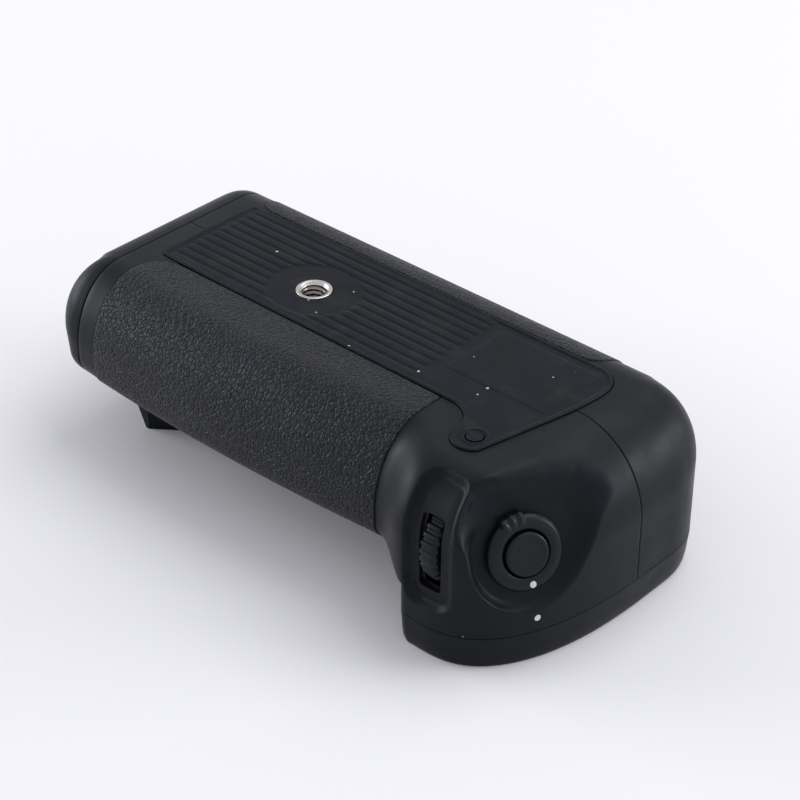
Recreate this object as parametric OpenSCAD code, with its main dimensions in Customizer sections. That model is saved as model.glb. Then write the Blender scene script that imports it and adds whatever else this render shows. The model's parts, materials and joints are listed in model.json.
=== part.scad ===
// Battery grip for a camera, standing on its camera rim with the tripod socket up.
// X runs along the grip with the shutter end at +X, -Y is the front, Z is up, millimetres.

/* [Overall] */
// Length over the end cap and the shutter end
body_len = 150; // [146:1:158]
// Height from the camera rim to the face of the base pad
body_h = 45; // [44:0.5:50]
// Depth of the head, from its front to the back face
body_depth = 72.3; // [70:0.5:78]
// Depth of the hand grip, from its front to the back face
grip_depth = 66.1; // [64:0.5:68]
// How far the wheels and buttons stand proud of the back face
back_proud = 1.8; // [1.4:0.1:2.2]
// Wall thickness of the casings
wall = 2.4; // [2:0.1:2.8]
// Crown of the hand grip along its length
grip_crown = 2.6; // [0:0.1:3.5]
// Height of the underside of the hand grip above the rim
under_z = 16.4; // [15.8:0.1:17]
// Plan radius of the end cap's front corner
corner_r = 8; // [5:0.5:10]
// Plan radius of the end cap's back corner
back_r = 9; // [6:0.5:12]
// Distance of the casing seam from the back face
seam_from_back = 29.1; // [26:0.1:32]
// Gap left between covers that meet
seam_gap = 0.15; // [0.05:0.05:0.3]

/* [Deck] */
// Height of the deck cover
deck_h = 8.5; // [8:0.1:9]
// Depth of the rim around the camera's seat
rim_depth = 4; // [3.6:0.1:4.4]
// Width of that rim
rim_w = 2.4; // [2:0.1:3]
// Thickness of the deck's floor
deck_floor = 2; // [1.6:0.1:2.2]
// Distance of the deck's left end from the end of the grip
deck_from_left = 13.5; // [12:0.5:16]
// How far the left end leans in at its foot
deck_lean = 4; // [1:0.5:5]
// Depth of the neck behind the hand grip, from the back face
neck_depth = 46.5; // [44:0.5:50]
// Reach of the toe at the deck's front left corner
toe_reach = 8; // [4:0.5:9]

/* [Base pad] */
// Thickness of the rubber base pad
pad_t = 1.4; // [1.1:0.1:1.8]
// How far the pad stands proud
pad_proud = 0.5; // [0.3:0.1:0.7]
// Distance of the pad's left end from the end of the grip
pad_from_left = 15.1; // [13:0.1:18]
// Width of the pad across the grip
pad_w = 32.2; // [28:0.1:34]
// Distance of the pad's back edge from the back face
pad_from_back = 12.3; // [11.5:0.1:14]
// Distance of the pad's right end from the end of the head
pad_from_right = 18.6; // [17:0.1:22]
// Radius of the plug over the screw in the pad's tab
plug_r = 2; // [1.5:0.1:2.5]

/* [Rubber panels] */
// Thickness of the grip rubber
rubber_t = 1.2; // [0.9:0.1:1.4]
// How far the grip rubber stands proud
rubber_proud = 0.25; // [0.1:0.05:0.4]
// Distance of the front panel's left end from the end of the grip
rubber_from_left = 15.5; // [13:0.5:18]
// Distance of the front panel's right end from the end of the head
rubber_from_right = 44; // [43:0.5:50]
// Distance of the rear panel's right end from the end of the head
rear_from_right = 26.5; // [25:0.5:45]
// Height of the rear panel's lower edge above the rim
rear_rubber_z = 30.5; // [29:0.5:34]

/* [Tripod socket] */
// Distance of the socket's axis from the end cap
tripod_from_left = 54.5; // [50:0.5:60]
// Distance of the socket's axis from the back face
tripod_from_back = 31.5; // [28:0.5:34]
// Bore of the bush, the minor diameter of a quarter inch thread
tripod_d = 5.2; // [5:0.05:5.4]
// Outside diameter of the bush
bush_d = 8.7; // [8:0.1:10]
// Length of the bush
bush_len = 6; // [5:0.1:6.2]
// Thickness of the metal chassis plate
chassis_t = 1.5; // [1.2:0.1:1.6]

/* [Battery holder] */
// Thickness of the end cap
cap_t = 9.6; // [8.6:0.1:11]
// Length of the battery bay
bay_len = 54.6; // [50:0.2:58]
// Width of the battery bay
bay_w = 38.6; // [34:0.2:39]
// Wall of the battery tray
tray_wall = 1.7; // [1.4:0.1:1.8]
// Clearance between the tray and its chamber
tray_gap = 0.3; // [0.2:0.05:0.4]
// Wall of the chamber
chamber_wall = 1; // [0.8:0.1:1.2]
// Radius of the latch knob
knob_r = 7.6; // [6:0.1:8.5]

/* [Shutter release] */
// Diameter of the shutter button
shutter_d = 9.8; // [9:0.1:10.2]
// Travel of the shutter button
shutter_travel = 1.4; // [1:0.1:1.5]
// Diameter of the lock collar
collar_d = 17.3; // [16.5:0.1:18.5]
// Height of the lock collar above the dish
collar_h = 2.4; // [2:0.1:2.8]
// Radius of the dish around the collar
dish_r = 13.6; // [12:0.1:14.5]
// Turn of the button's axis towards the front
shutter_az = 26; // [20:1:30]
// Tilt of the button's axis above level
shutter_el = 18; // [14:1:22]

/* [Dials and controls] */
// Diameter of the command dials
dial_d = 20; // [19:0.2:20.4]
// Width of the command dials
dial_w = 4.6; // [4:0.1:5]
// Ribs around a command dial
dial_ribs = 30; // [20:1:40]
// Diameter of the dial axles
axle_d = 3; // [2:0.1:3.4]
// Running clearance of a shaft on its radius
run_gap = 0.06; // [0.03:0.01:0.08]
// Diameter of the rear button
rear_button_d = 8; // [7:0.1:9]
// Travel of the rear button
rear_travel = 0.9; // [0.6:0.1:1]
// Diameter of the selector pad
selector_d = 12.4; // [11:0.1:13]

/* [Camera attachment] */
// Diameter of the camera screw, a quarter inch thread
screw_d = 6.35; // [6:0.05:6.5]
// Reach of the camera screw below the deck's seat
screw_reach = 3.6; // [3:0.1:3.8]
// Radius of the attachment wheel
wheel_r = 11.5; // [11:0.1:12]
// Thickness of the attachment wheel
wheel_t = 5; // [4:0.1:5.4]
// Module of the gear pair
gear_m = 0.75; // [0.7:0.01:0.8]
// Teeth of the wheel's pinion
pinion_teeth = 16; // [15:1:17]
// Teeth of the screw's gear
gear_teeth = 30; // [26:1:32]
// Thickness of the gears
gear_t = 2.4; // [2:0.1:2.4]

/* [Hidden] */
$fn = 48;

// Main planes
x_l = -body_len / 2;
x_r = body_len / 2;
y_f = -(body_depth + back_proud) / 2;
y_b = y_f + body_depth;
grip_y = y_b - grip_depth;
seam_y = y_b - seam_from_back;
neck_y = y_b - neck_depth;
top_z = body_h - pad_proud;
cap_x = x_l + cap_t;
deck_x = x_l + deck_from_left;
seat_z = rim_depth + deck_floor;
back_in = y_b - wall;
far = 400;

// Plan of the head and of the flare that joins it to the hand grip
curve_n = 2.4;
head_a = 25.5;
head_cx = x_r - head_a;
head_cy = y_b - 23.5;
head_b = head_cy - y_f;
back_a = 15.5;
back_b = 17.5;
back_cx = x_r - back_a;
back_cy = y_b - back_b;
flare_x0 = head_cx - 18.5;
flare_x1 = head_cx - 5;
low_x0 = head_cx - 22;
low_x1 = head_cx - 4;

// Height of the sides, and the height of the sides that the photo was measured with
side_h = body_h - deck_h;
side_part = side_h / 36.5;
// How far each edge is rounded inwards, and over what height
round_front = 15;
round_head = 13.5;
round_back = 11.5;
round_left = 8.5;
round_end = 18;
rise_front = 19 * side_part;
rise_head = 16 * side_part;
rise_back = 11.5 * side_part;
rise_left = 8 * side_part;
rise_end = 20 * side_part;

// Stations around the outline and rows over the rounded edges
n_front = 20;
n_head = 10;
n_back = 8;
n_rear = 7;
n_corner = 5;
n_left = 4;
n_round = 7;
last_turn = 82;
// Lower rows: share of the way from the neck to the full outline, and height from the underside
low_round = 6.4;
low_part = low_round / (neck_y - grip_y);
low_turn = [0, 22.5, 45, 67.5, 90];
low_share = concat([0, 0, 0.12], [for (t = low_turn) 1 - low_part * (1 - sin(t))]);
low_step = concat([0, -2.5, -0.4], [for (t = low_turn) low_round * (1 - cos(t))]);
// How far the face of the end cap leans in at its foot
end_lean = 1.4;
neck_draft = 0.05;
end_draft = 0.15;
// Deck's wall: height above the table, and how far it is drawn in there
deck_tuck = [[0, 1.2], [1, 0.8], [3, 0.45]];
// Space inside the head: a wider room below and a narrower one under the rounded top
shelf_z = deck_h + 21.5;
shelf_w = 3.6;
shelf_top = body_h - 8;

// Rubber panels
rubber_x0 = x_l + rubber_from_left;
rubber_x1 = x_r - rubber_from_right;
rear_rubber_x1 = x_r - rear_from_right;
rubber_gap = 0.3;
// How far the front panel stops short of the neck, on the underside
rubber_under = 8;

// Base pad
pad_x0 = x_l + pad_from_left;
pad_x1 = x_r - pad_from_right;
pad_y1 = y_b - pad_from_back;
pad_y0 = pad_y1 - pad_w;
tab_r = 5.2;
tab_x = pad_x1 - 10.2;
hollow_r = 7;
tab_y = pad_y0 - hollow_r;
pad_r = 7;
plug_y0 = tab_y + 0.3;
plug_t = 0.8;
groove_n = 10;
groove_w = 1;
groove_t = 0.3;
groove_x1 = pad_x1 - 36.4;

// Tripod socket and the chassis under it
tripod_x = x_l + tripod_from_left;
tripod_y = y_b - tripod_from_back;
bush_z = body_h - bush_len;
chassis_z = top_z - wall - chassis_t;
chassis_len = 60;
chassis_w = 30;
chassis_inset = 3;
fix_r = 0.8;
fix_head_r = 1.7;
fix_head_t = 1;
chassis_fixings = [for (i = [-1, 1], j = [-1, 1])
    [tripod_x + i * (chassis_len / 2 - chassis_inset), tripod_y + j * (chassis_w / 2 - chassis_inset)]];

// Battery holder and its chamber
chamber_shift = 2.7;
chamber_y = (grip_y + y_b) / 2 - chamber_shift;
chamber_z0 = under_z + wall + 0.1 + chamber_wall;
chamber_z1 = bush_z - 0.2 - chamber_wall;
tray_w = bay_w + 2 * tray_wall;
tray_z0 = chamber_z0 + tray_gap;
tray_z1 = chamber_z1 - tray_gap;
tray_h = tray_z1 - tray_z0;
chamber_w = tray_w + 2 * tray_gap;
latch_room = 9;
plug_len = 4;
tray_x0 = cap_x + plug_len;
bay_x0 = cap_x + latch_room + tray_wall;
tray_x1 = bay_x0 + bay_len + tray_wall;
contact_room = 2.2;
chamber_x1 = tray_x1 + contact_room;
contact_pitch = 7;
contact_w = 2.4;
contact_h = 6;
contact_gap = 0.3;
mouth_t = 1.6;
gasket_w = 1.2;
gasket_depth = 0.8;
gasket_squeeze = 0.1;

// Latch
latch_z = (tray_z0 + tray_z1) / 2;
knob_gap = 0.6;
knob_depth = 3.7;
knob_t = 1.6;
bar_proud = 1.2;
bar_w = 4;
spindle_r = 2;
tongue_t = 2;
tongue_w = 3.2;
tongue_len = chamber_z1 + chamber_wall + 0.8 - latch_z;
tongue_x = tray_x0 + 1.6;

// Shutter release, measured down the button's axis from its top
shutter_top = [x_r - 8.33, y_f + 15.05, deck_h + 18.7 * side_part];
button_proud = 0.6;
dish_floor = button_proud + collar_h;
boss_t = 2.8;
boss_in = dish_floor + boss_t;
boss_edge = 1.6;
// Sides of the dish where it runs out on the rounded top, as shares of its radius
dish_side = [[-1.1, 1.53], [-1.31, -0.68], [-1.03, -0.9], [-0.81, -0.985], [-0.37, -1.02]];
collar_in_r = shutter_d / 2 + 0.35;
sleeve_r = 6.4;
clip_t = 0.9;
clip_r = 8;
sleeve_end = boss_in + 0.1 + clip_t + 0.3;
cap_skirt = 3.2;
stem_r = 1.6;
bridge_x = boss_in + 1.7;
bridge_t = 1.2;
bridge_w = 6;
bridge_len = 19.6;
bridge_leg = 1.4;
switch_end = bridge_x + bridge_t + 1.9;
switch_w = 4.6;
nub_a = 197;
nub_out = 0.8;
nub_span = 36;
dot_r = 0.75;
dot_a = 5.2;
dot_t = 0.3;
index_r = dish_r + 1.8;

// Command dials
dial_r = dial_d / 2;
axle_r = axle_d / 2;
dial_gap = 0.25;
ear_t = 0.8;
ear_h = 9;
base_gap = 0.6;
dial_room = dial_w / 2 + dial_gap + ear_t + 0.1;
base_t = 1.2;
rib_depth = 0.45;
window_gap = 0.7;
window_h = 18.4;
dial_recess = 1.85;
dial_pad_t = 2.2;
dial_proud = 1.6;
sub_x = x_r - 24.15;
sub_z = deck_h + 18 * side_part;
sub_y = y_f + dial_recess - dial_proud + dial_r;
sub_in = y_f + dial_recess + dial_pad_t;
recess_x0 = sub_x - 6.6;
recess_x1 = sub_x + 7.4;
recess_z0 = deck_h + 4.3;
recess_r = 5;
// How far the channel of the dial runs up the rounded top, as a turn of the rounding
recess_turn = 66;
main_x = x_r - 20;
main_z = deck_h + 11.3;
main_y = y_b + dial_proud - dial_r;

// Rear button, selector and the board behind them
button_r = rear_button_d / 2;
rear_x = x_r - 32;
rear_z = deck_h + 10.5;
hole_gap = 0.35;
rear_proud = 1.4;
flange_r = button_r + 1.1;
flange_t = 1.6;
board_x0 = x_r - 56;
board_x1 = x_r - 25;
board_z0 = rear_z - 8.4;
board_z1 = rear_z + 8.4;
board_t = 1.6;
board_y = back_in - 8.6;
post_r = 1.8;
post_in = 2.2;
rear_switch_w = 6;
rear_switch_t = board_y + board_t + 3;
posts = [for (x = [board_x0 + post_in, board_x1 - post_in], z = [board_z0 + post_in, board_z1 - post_in]) [x, z]];
select_x = x_r - 46;
select_y = back_in - 4;
select_r = selector_d / 2;
select_hole = select_r + 1.5;
select_proud = 1.4;
select_t = 2.6;
gimbal_w = 7;
gimbal_h = 7;
gimbal_t = 1.8;
gimbal_open = 4.2;
pivot_r = 0.6;
pivot_gap = 0.05;
yoke_w = 3;

// Camera attachment
pitch_1 = gear_m * pinion_teeth / 2;
pitch_2 = gear_m * gear_teeth / 2;
wheel_y = y_b + back_proud - wheel_r;
screw_y = wheel_y - pitch_1 - pitch_2;
screw_r = screw_d / 2;
gear_z = seat_z + 0.4;
wheel_z = gear_z + gear_t + 0.6;
wheel_ribs = 36;
backlash = 0.12;
shank_r = 2.5;
head_r = 4;
head_t = 1.4;
screw_bush_r = 5.5;
journal_step = 0.2;
axle_head_r = 3;
axle_head_t = 0.8;
slot_gap = 0.5;
slot_half = sqrt(pow(wheel_r, 2) - pow(back_in - wheel_y, 2)) + slot_gap;
axle_z = rim_depth + 0.6;

// Main board, connector, pins and deck screws
main_x0 = chamber_x1 + 2;
main_x1 = main_x - 9;
main_y0 = chamber_y - 5.5;
main_y1 = board_y - 2;
main_z0 = seat_z + 6.6;
main_t = 1.6;
stud_r = 2.2;
stud_in = 3;
board_fix_len = 4;
main_fixings = [for (x = [main_x0 + stud_in, main_x1 - stud_in], y = [main_y0 + stud_in, main_y1 - stud_in]) [x, y]];
plug_x = (main_x0 + main_x1) / 2;
plug_y = (main_y0 + main_y1) / 2;
connector_len = 20;
connector_w = 6;
connector_z = 1.8;
pin_pitch = 1.8;
pin_count = 10;
pin_r = 0.4;
pin_len = 1.1;
locator_r = 1.5;
locator_len = 3.2;
locator_step = 0.3;
locators = [[deck_x + 14, screw_y], [x_r - 22, screw_y]];
deck_boss_r = 3;
deck_boss_h = 9;
deck_fix_r = 1;
deck_head_r = 2.1;
deck_head_t = 1.2;
deck_fix_len = 7;
boss_bite = 2.4;
front_bosses = [[deck_x + 15.5, neck_y + wall + 1.4], [x_r - 15, y_f + 8]];
rear_bosses = [[deck_x + 9.5, back_in - boss_bite], [select_x - 19, back_in - boss_bite], [x_r - 12.5, back_in - 2.7]];

// Surface of the casings

function smooth(t) = let (u = min(1, max(0, t))) u * u * (3 - 2 * u);

function flare(x) = smooth((x - flare_x0) / (flare_x1 - flare_x0));

function front_y(x, d) =
    let (mid = (x_l + flare_x0) / 2, u = (x - mid) / (flare_x0 - mid))
    grip_y - grip_crown * max(0, 1 - u * u) + (y_f - grip_y) * flare(x) + d;

function low_y(x, d) =
    neck_y + d + (front_y(x, d) - neck_y - d) * smooth((x - low_x0) / (low_x1 - low_x0));

cap_front = front_y(x_l + corner_r, 0);

// Outline of the casings seen from above, drawn in by d
function outline(d) = concat(
    [for (j = [0 : n_front]) let (x = x_l + corner_r + (head_cx - x_l - corner_r) * j / n_front) [x, front_y(x, d)]],
    [for (j = [1 : n_head]) let (t = 90 * j / n_head)
        [head_cx + (head_a - d) * pow(sin(t), 2 / curve_n), head_cy - (head_b - d) * pow(cos(t), 2 / curve_n)]],
    [for (j = [0 : n_back]) let (t = 90 * j / n_back)
        [back_cx + (back_a - d) * pow(cos(t), 2 / curve_n), back_cy + (back_b - d) * pow(sin(t), 2 / curve_n)]],
    [for (j = [1 : n_rear]) [back_cx + (x_l + back_r - back_cx) * j / n_rear, y_b - d]],
    [for (j = [1 : n_corner]) let (t = 90 + 90 * j / n_corner)
        [x_l + back_r + (back_r - d) * cos(t), y_b - back_r + (back_r - d) * sin(t)]],
    [for (j = [1 : n_left]) let (y0 = y_b - back_r, y1 = cap_front + corner_r)
        [x_l + d, y0 + (y1 - y0) * j / (n_left + 1)]],
    [for (j = [0 : n_corner - 1]) let (t = 180 + 90 * j / n_corner)
        [x_l + corner_r + (corner_r - d) * cos(t), cap_front + corner_r + (corner_r - d) * sin(t)]]
);

// Nearest point of the flat top, where the rounding of the edge ends
function core(p) =
    let (y0 = front_y(min(p[0], head_cx), 0) + round_front + (round_head - round_front) * flare(p[0]))
    [min(max(p[0], x_l + round_left), x_r - round_end), min(max(p[1], y0), y_b - round_back)];

// Height over which the edge at p is rounded
function rise(p) =
    let (v = p - core(p), ax = abs(v[0]), ay = abs(v[1]))
    let (rx = v[0] < 0 ? rise_left : rise_end)
    let (ry = v[1] > 0 ? rise_back : rise_front + (rise_head - rise_front) * flare(p[0]))
    (ax * rx + ay * ry) / (ax + ay);

// Foot of the wall below p, behind the overhang of the hand grip and the end cap
function foot(p, d) =
    let (x = max(p[0], deck_x + d + end_draft * (p[0] - x_l)), y = low_y(x, d))
    [x, max(p[1], y) + neck_draft * min(0, p[1] - y)];

function low_row(ring, k, d) =
    [for (p = ring) let (q = foot(p, d) + (p - foot(p, d)) * low_share[k])
        let (lean = end_lean * low_share[k] * max(0, x_l + corner_r - p[0]) / corner_r)
        [q[0] + lean, q[1], k == 0 ? deck_h : under_z + low_step[k] + d]];

function top_row(ring, k, d) =
    let (a = last_turn * k / n_round)
    [for (p = ring) let (c = core(p), q = c + (p - c) * cos(a))
        [q[0], q[1], top_z - d - (rise(p) - d) * (1 - sin(a) / sin(last_turn))]];

// Solid of the whole casing, drawn in by d on every side
module grip_form(d) {
    ring = outline(d);
    n = len(ring);
    rows = concat(
        [for (k = [0 : len(low_share) - 1]) low_row(ring, k, d)],
        [for (k = [0 : n_round]) top_row(ring, k, d)]);
    m = len(rows);
    centre = [head_cx - 9.5, 2];
    points = concat(
        [for (row = rows, p = row) p],
        [[centre[0], centre[1], deck_h], [centre[0], centre[1], top_z - d]]);
    sides = [for (k = [0 : m - 2], i = [0 : n - 1], half = [0, 1])
        let (a = k * n + i, b = k * n + (i + 1) % n)
        half == 0 ? [a, a + n, b + n] : [a, b + n, b]];
    ends = [for (i = [0 : n - 1], top = [0, 1])
        let (j = (i + 1) % n)
        top == 0 ? [m * n, i, j] : [m * n + 1, (m - 1) * n + j, (m - 1) * n + i]];
    polyhedron(points, concat(sides, ends));
}

// Helpers

module block(lo, hi) {
    translate(lo) cube(hi - lo);
}

// Cylinder along X from x0 to x1
module rod_x(x0, x1, y, z, r) {
    translate([x0, y, z]) rotate([0, 90, 0]) cylinder(h = x1 - x0, r = r);
}

// Cylinder along Y from y0 to y1
module rod_y(x, y0, y1, z, r) {
    translate([x, y0, z]) rotate([-90, 0, 0]) cylinder(h = y1 - y0, r = r);
}

// Cylinder along Z from z0 to z1
module rod_z(p, z0, z1, r) {
    translate([p[0], p[1], z0]) cylinder(h = z1 - z0, r = r);
}

// Polygon in the Y-Z plane pushed along X
module prism_x(x0, x1, points) {
    translate([x0, 0, 0]) rotate([90, 0, 90]) linear_extrude(x1 - x0) polygon(points);
}

// Polygon in the X-Z plane pushed along Y
module prism_y(y0, y1, points) {
    translate([0, y1, 0]) rotate([90, 0, 0]) linear_extrude(y1 - y0) polygon(points);
}

// Corner of radius r around c, from angle a to angle b
function arc(c, r, a, b, n = 8) = [for (i = [0 : n]) let (t = a + (b - a) * i / n) c + r * [cos(t), sin(t)]];

function bar(x0, y0, x1, y1, r) = concat(
    arc([x1 - r, y1 - r], r, 0, 90), arc([x0 + r, y1 - r], r, 90, 180),
    arc([x0 + r, y0 + r], r, 180, 270), arc([x1 - r, y0 + r], r, 270, 360));

// Frame whose Z axis runs out of the shutter button and whose -X axis is up
module at_shutter(down = 0) {
    translate(shutter_top) rotate([0, 90 - shutter_el, -shutter_az]) translate([0, 0, -down]) children();
}

// Ribbed disc with n ribs
module ribbed(r, n, depth, h) {
    step = 360 / n;
    points = [for (i = [0 : n - 1], k = [0 : 3])
        let (a = step * (i + [0, 0.3, 0.5, 0.8][k]), q = k < 2 ? r : r - depth)
        q * [cos(a), sin(a)]];
    linear_extrude(h) polygon(points);
}

// Involute gear outline
function involute(a) = tan(a) * 180 / PI - a;

function gear_points(teeth, m, slack) =
    let (pitch = m * teeth / 2, base = pitch * cos(20), root = pitch - 1.25 * m, tip = pitch + m)
    let (half = 90 / teeth - slack / pitch * 45 / PI + involute(20))
    let (start = max(base, root), radii = [for (i = [0 : 4]) start + (tip - start) * i / 4])
    let (flank = concat([[root, half]], [for (r = radii) [r, half - involute(acos(base / r))]]))
    [for (i = [0 : teeth - 1], side = [-1, 1], k = [0 : len(flank) - 1])
        let (f = flank[side < 0 ? k : len(flank) - 1 - k], a = 360 * i / teeth + side * f[1])
        f[0] * [cos(a), sin(a)]];

// Outline of the dish: an arc below the button, open towards the rounded top
function dish_points(grow) =
    let (r = dish_r + grow)
    concat(arc([0, 0], r, -92, 62, 20), [for (p = dish_side) r * p]);

// Spot on the head that the collar's dot is read against
module index_place() {
    at_shutter(8) translate(index_r * [cos(dot_a), sin(dot_a), 0]) cylinder(h = 25, r = dot_r);
}

// Section of the space inside the hand grip
function inner_section(d) =
    let (front = grip_y + d, back = y_b - d, floor = under_z + d)
    let (c0 = grip_y + round_front, c1 = y_b - round_back)
    concat(
        [[front + 2, floor], [front, floor + 2.4]],
        [for (k = [0 : n_round]) let (a = last_turn * k / n_round)
            [c0 + (front - c0) * cos(a), top_z - d - (rise_front - d) * (1 - sin(a) / sin(last_turn))]],
        [for (k = [n_round : -1 : 0]) let (a = last_turn * k / n_round)
            [c1 + (back - c1) * cos(a), top_z - d - (rise_back - d) * (1 - sin(a) / sin(last_turn))]],
        [[back, floor]]);

module deck_plan(d) {
    polygon([for (p = outline(d)) foot(p, d)]);
}

// Deck up to its seam, its wall drawn in towards the table
module deck_form() {
    rows = concat(deck_tuck, [[deck_h, 0]]);
    n = len(outline(0));
    m = len(rows);
    centre = [head_cx - 9.5, 2];
    points = concat(
        [for (row = rows, p = outline(row[1])) let (q = foot(p, row[1])) [q[0], q[1], row[0]]],
        [[centre[0], centre[1], 0], [centre[0], centre[1], deck_h]]);
    sides = [for (k = [0 : m - 2], i = [0 : n - 1], half = [0, 1])
        let (a = k * n + i, b = k * n + (i + 1) % n)
        half == 0 ? [a, a + n, b + n] : [a, b + n, b]];
    ends = [for (i = [0 : n - 1], top = [0, 1])
        let (j = (i + 1) % n)
        top == 0 ? [m * n, i, j] : [m * n + 1, (m - 1) * n + j, (m - 1) * n + i]];
    polyhedron(points, concat(sides, ends));
}

module head_room(d, z0, z1) {
    intersection() {
        translate([0, 0, z0]) linear_extrude(z1 - z0) polygon(outline(d));
        block([head_cx - 14, -far, z0], [x_r, far, z1]);
    }
}

module casing_room() {
    floor = under_z + wall;
    translate([0, 0, deck_h - 1]) linear_extrude(floor + 1.5 - deck_h) deck_plan(wall);
    prism_x(cap_x - 1, head_cx - 12, inner_section(wall));
    head_room(wall, floor, shelf_z);
    head_room(wall + shelf_w, shelf_z - 1, shelf_top);
}

module deck_bosses(places) {
    for (p = places) rod_z(p, deck_h, deck_h + deck_boss_h, deck_boss_r);
}

module deck_boss_holes(places) {
    for (p = places) rod_z(p, deck_h - 1, deck_h + deck_fix_len, deck_fix_r);
}

module pad_outline(gap) {
    x0 = pad_x0 - gap;
    x1 = pad_x1 + gap;
    y0 = pad_y0 - gap;
    y1 = pad_y1 + gap;
    // The tab leaves the front edge in a hollow curve and runs into the right edge on its far side
    polygon(concat(
        [[x0, y0 + 1], [x0 + 1, y0]],
        arc([tab_x - tab_r - hollow_r, tab_y], hollow_r - gap, 90, 0),
        arc([tab_x, tab_y], tab_r + gap, 180, 335, 12),
        [[x1 - 3.2, y0 + 4], [x1 - 0.9, y0 + 14], [x1, y0 + 22]],
        arc([x1 - pad_r, y1 - pad_r], pad_r, 0, 90),
        [[x0 + 1, y1], [x0, y1 - 1]]));
}

module front_rubber_room() {
    intersection() {
        prism_x(rubber_x0, rubber_x1, [
            [y_f - 5, under_z - 0.4], [neck_y - rubber_under, under_z - 0.4], [neck_y - rubber_under, under_z + 6],
            [pad_y0 - rubber_gap, top_z - 5], [pad_y0 - rubber_gap, body_h + 5], [y_f - 5, body_h + 5]]);
        linear_extrude(2 * body_h)
            polygon(bar(rubber_x0, 2 * y_f, rubber_x1 + 20, pad_y0 - rubber_gap, 8));
    }
}

module rear_rubber_room() {
    intersection() {
        prism_x(rubber_x0, rear_rubber_x1, [
            [pad_y1 + rubber_gap, body_h + 5], [pad_y1 + rubber_gap, top_z - 5], [y_b - 4, rear_rubber_z],
            [y_b + 5, rear_rubber_z], [y_b + 5, body_h + 5]]);
        linear_extrude(2 * body_h)
            polygon(bar(rubber_x0, pad_y1 + rubber_gap, rear_rubber_x1, 2 * y_b, 5));
    }
}

// Channel of the front dial: its floor follows the front of the head up into the rounding
module dial_channel() {
    c = y_f + round_head;
    in = dial_recess;
    end_y = c + (y_f - c) * cos(recess_turn);
    floor = [for (k = [0 : n_round]) let (a = recess_turn * k / n_round)
        [c + (y_f + in - c) * cos(a), top_z - in - (rise_head - in) * (1 - sin(a) / sin(last_turn))]];
    intersection() {
        prism_x(recess_x0, recess_x1, concat(
            [[y_f - 10, 0], [y_f + in, 0]], floor, [[end_y + 2, body_h + 10], [y_f - 10, body_h + 10]]));
        prism_y(y_f - 10, end_y + 5, bar(recess_x0, recess_z0, recess_x1, body_h + 20, recess_r));
        linear_extrude(body_h + 10) polygon(bar(recess_x0, 2 * y_f, recess_x1, end_y, recess_r));
    }
}

module front_casing() {
    color("#26282c") difference() {
        intersection() {
            grip_form(0);
            block([cap_x, -far, 0], [far, seam_y, far]);
        }
        difference() {
            casing_room();
            at_shutter(boss_in) linear_extrude(far) polygon(dish_points(boss_edge));
            block([recess_x0, -far, recess_z0 - wall], [recess_x1, sub_in, sub_z + 12]);
            deck_bosses(front_bosses);
        }
        translate([0, 0, body_h - pad_t]) linear_extrude(far) pad_outline(0.1);
        difference() {
            front_rubber_room();
            grip_form(rubber_t - rubber_proud);
        }
        at_shutter(dish_floor) linear_extrude(30) polygon(dish_points(0));
        at_shutter(boss_in + 1) cylinder(h = boss_t + 2, r = sleeve_r + run_gap);
        dial_channel();
        block([sub_x - dial_w / 2 - window_gap, y_f - 1, sub_z - window_h / 2],
            [sub_x + dial_w / 2 + window_gap, sub_in + 1, sub_z + window_h / 2]);
        block([sub_x - dial_room, sub_in, sub_z - dial_r - base_gap],
            [sub_x + dial_room, sub_y + dial_r + base_gap + base_t, sub_z + dial_r + base_gap]);
        rod_z([tripod_x, tripod_y], bush_z - 1, far, bush_d / 2);
        for (p = chassis_fixings) if (p[1] < seam_y) rod_z(p, chassis_z, top_z - 1.4, fix_r);
        deck_boss_holes(front_bosses);
        difference() {
            index_place();
            grip_form(dot_t);
        }
    }
}

module rear_casing() {
    color("#26282c") difference() {
        intersection() {
            grip_form(0);
            block([cap_x, seam_y + seam_gap, 0], [far, far, far]);
        }
        difference() {
            casing_room();
            deck_bosses(rear_bosses);
            for (p = posts) rod_y(p[0], board_y + board_t, y_b - 1, p[1], post_r);
        }
        translate([0, 0, body_h - pad_t]) linear_extrude(far) pad_outline(0.1);
        difference() {
            rear_rubber_room();
            grip_form(rubber_t - rubber_proud);
        }
        block([main_x - dial_w / 2 - window_gap, back_in - 1, main_z - window_h / 2],
            [main_x + dial_w / 2 + window_gap, y_b + 5, main_z + window_h / 2]);
        rod_y(rear_x, back_in - 1, y_b + 5, rear_z, button_r + hole_gap);
        rod_y(select_x, back_in - 1, y_b + 5, rear_z, select_hole);
        block([tripod_x - slot_half, back_in - 1, deck_h - 1],
            [tripod_x + slot_half, y_b + 5, wheel_z + wheel_t + slot_gap]);
        rod_z([tripod_x, tripod_y], bush_z - 1, far, bush_d / 2);
        for (p = chassis_fixings) if (p[1] > seam_y) rod_z(p, chassis_z, top_z - 1.4, fix_r);
        deck_boss_holes(rear_bosses);
    }
}

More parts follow.
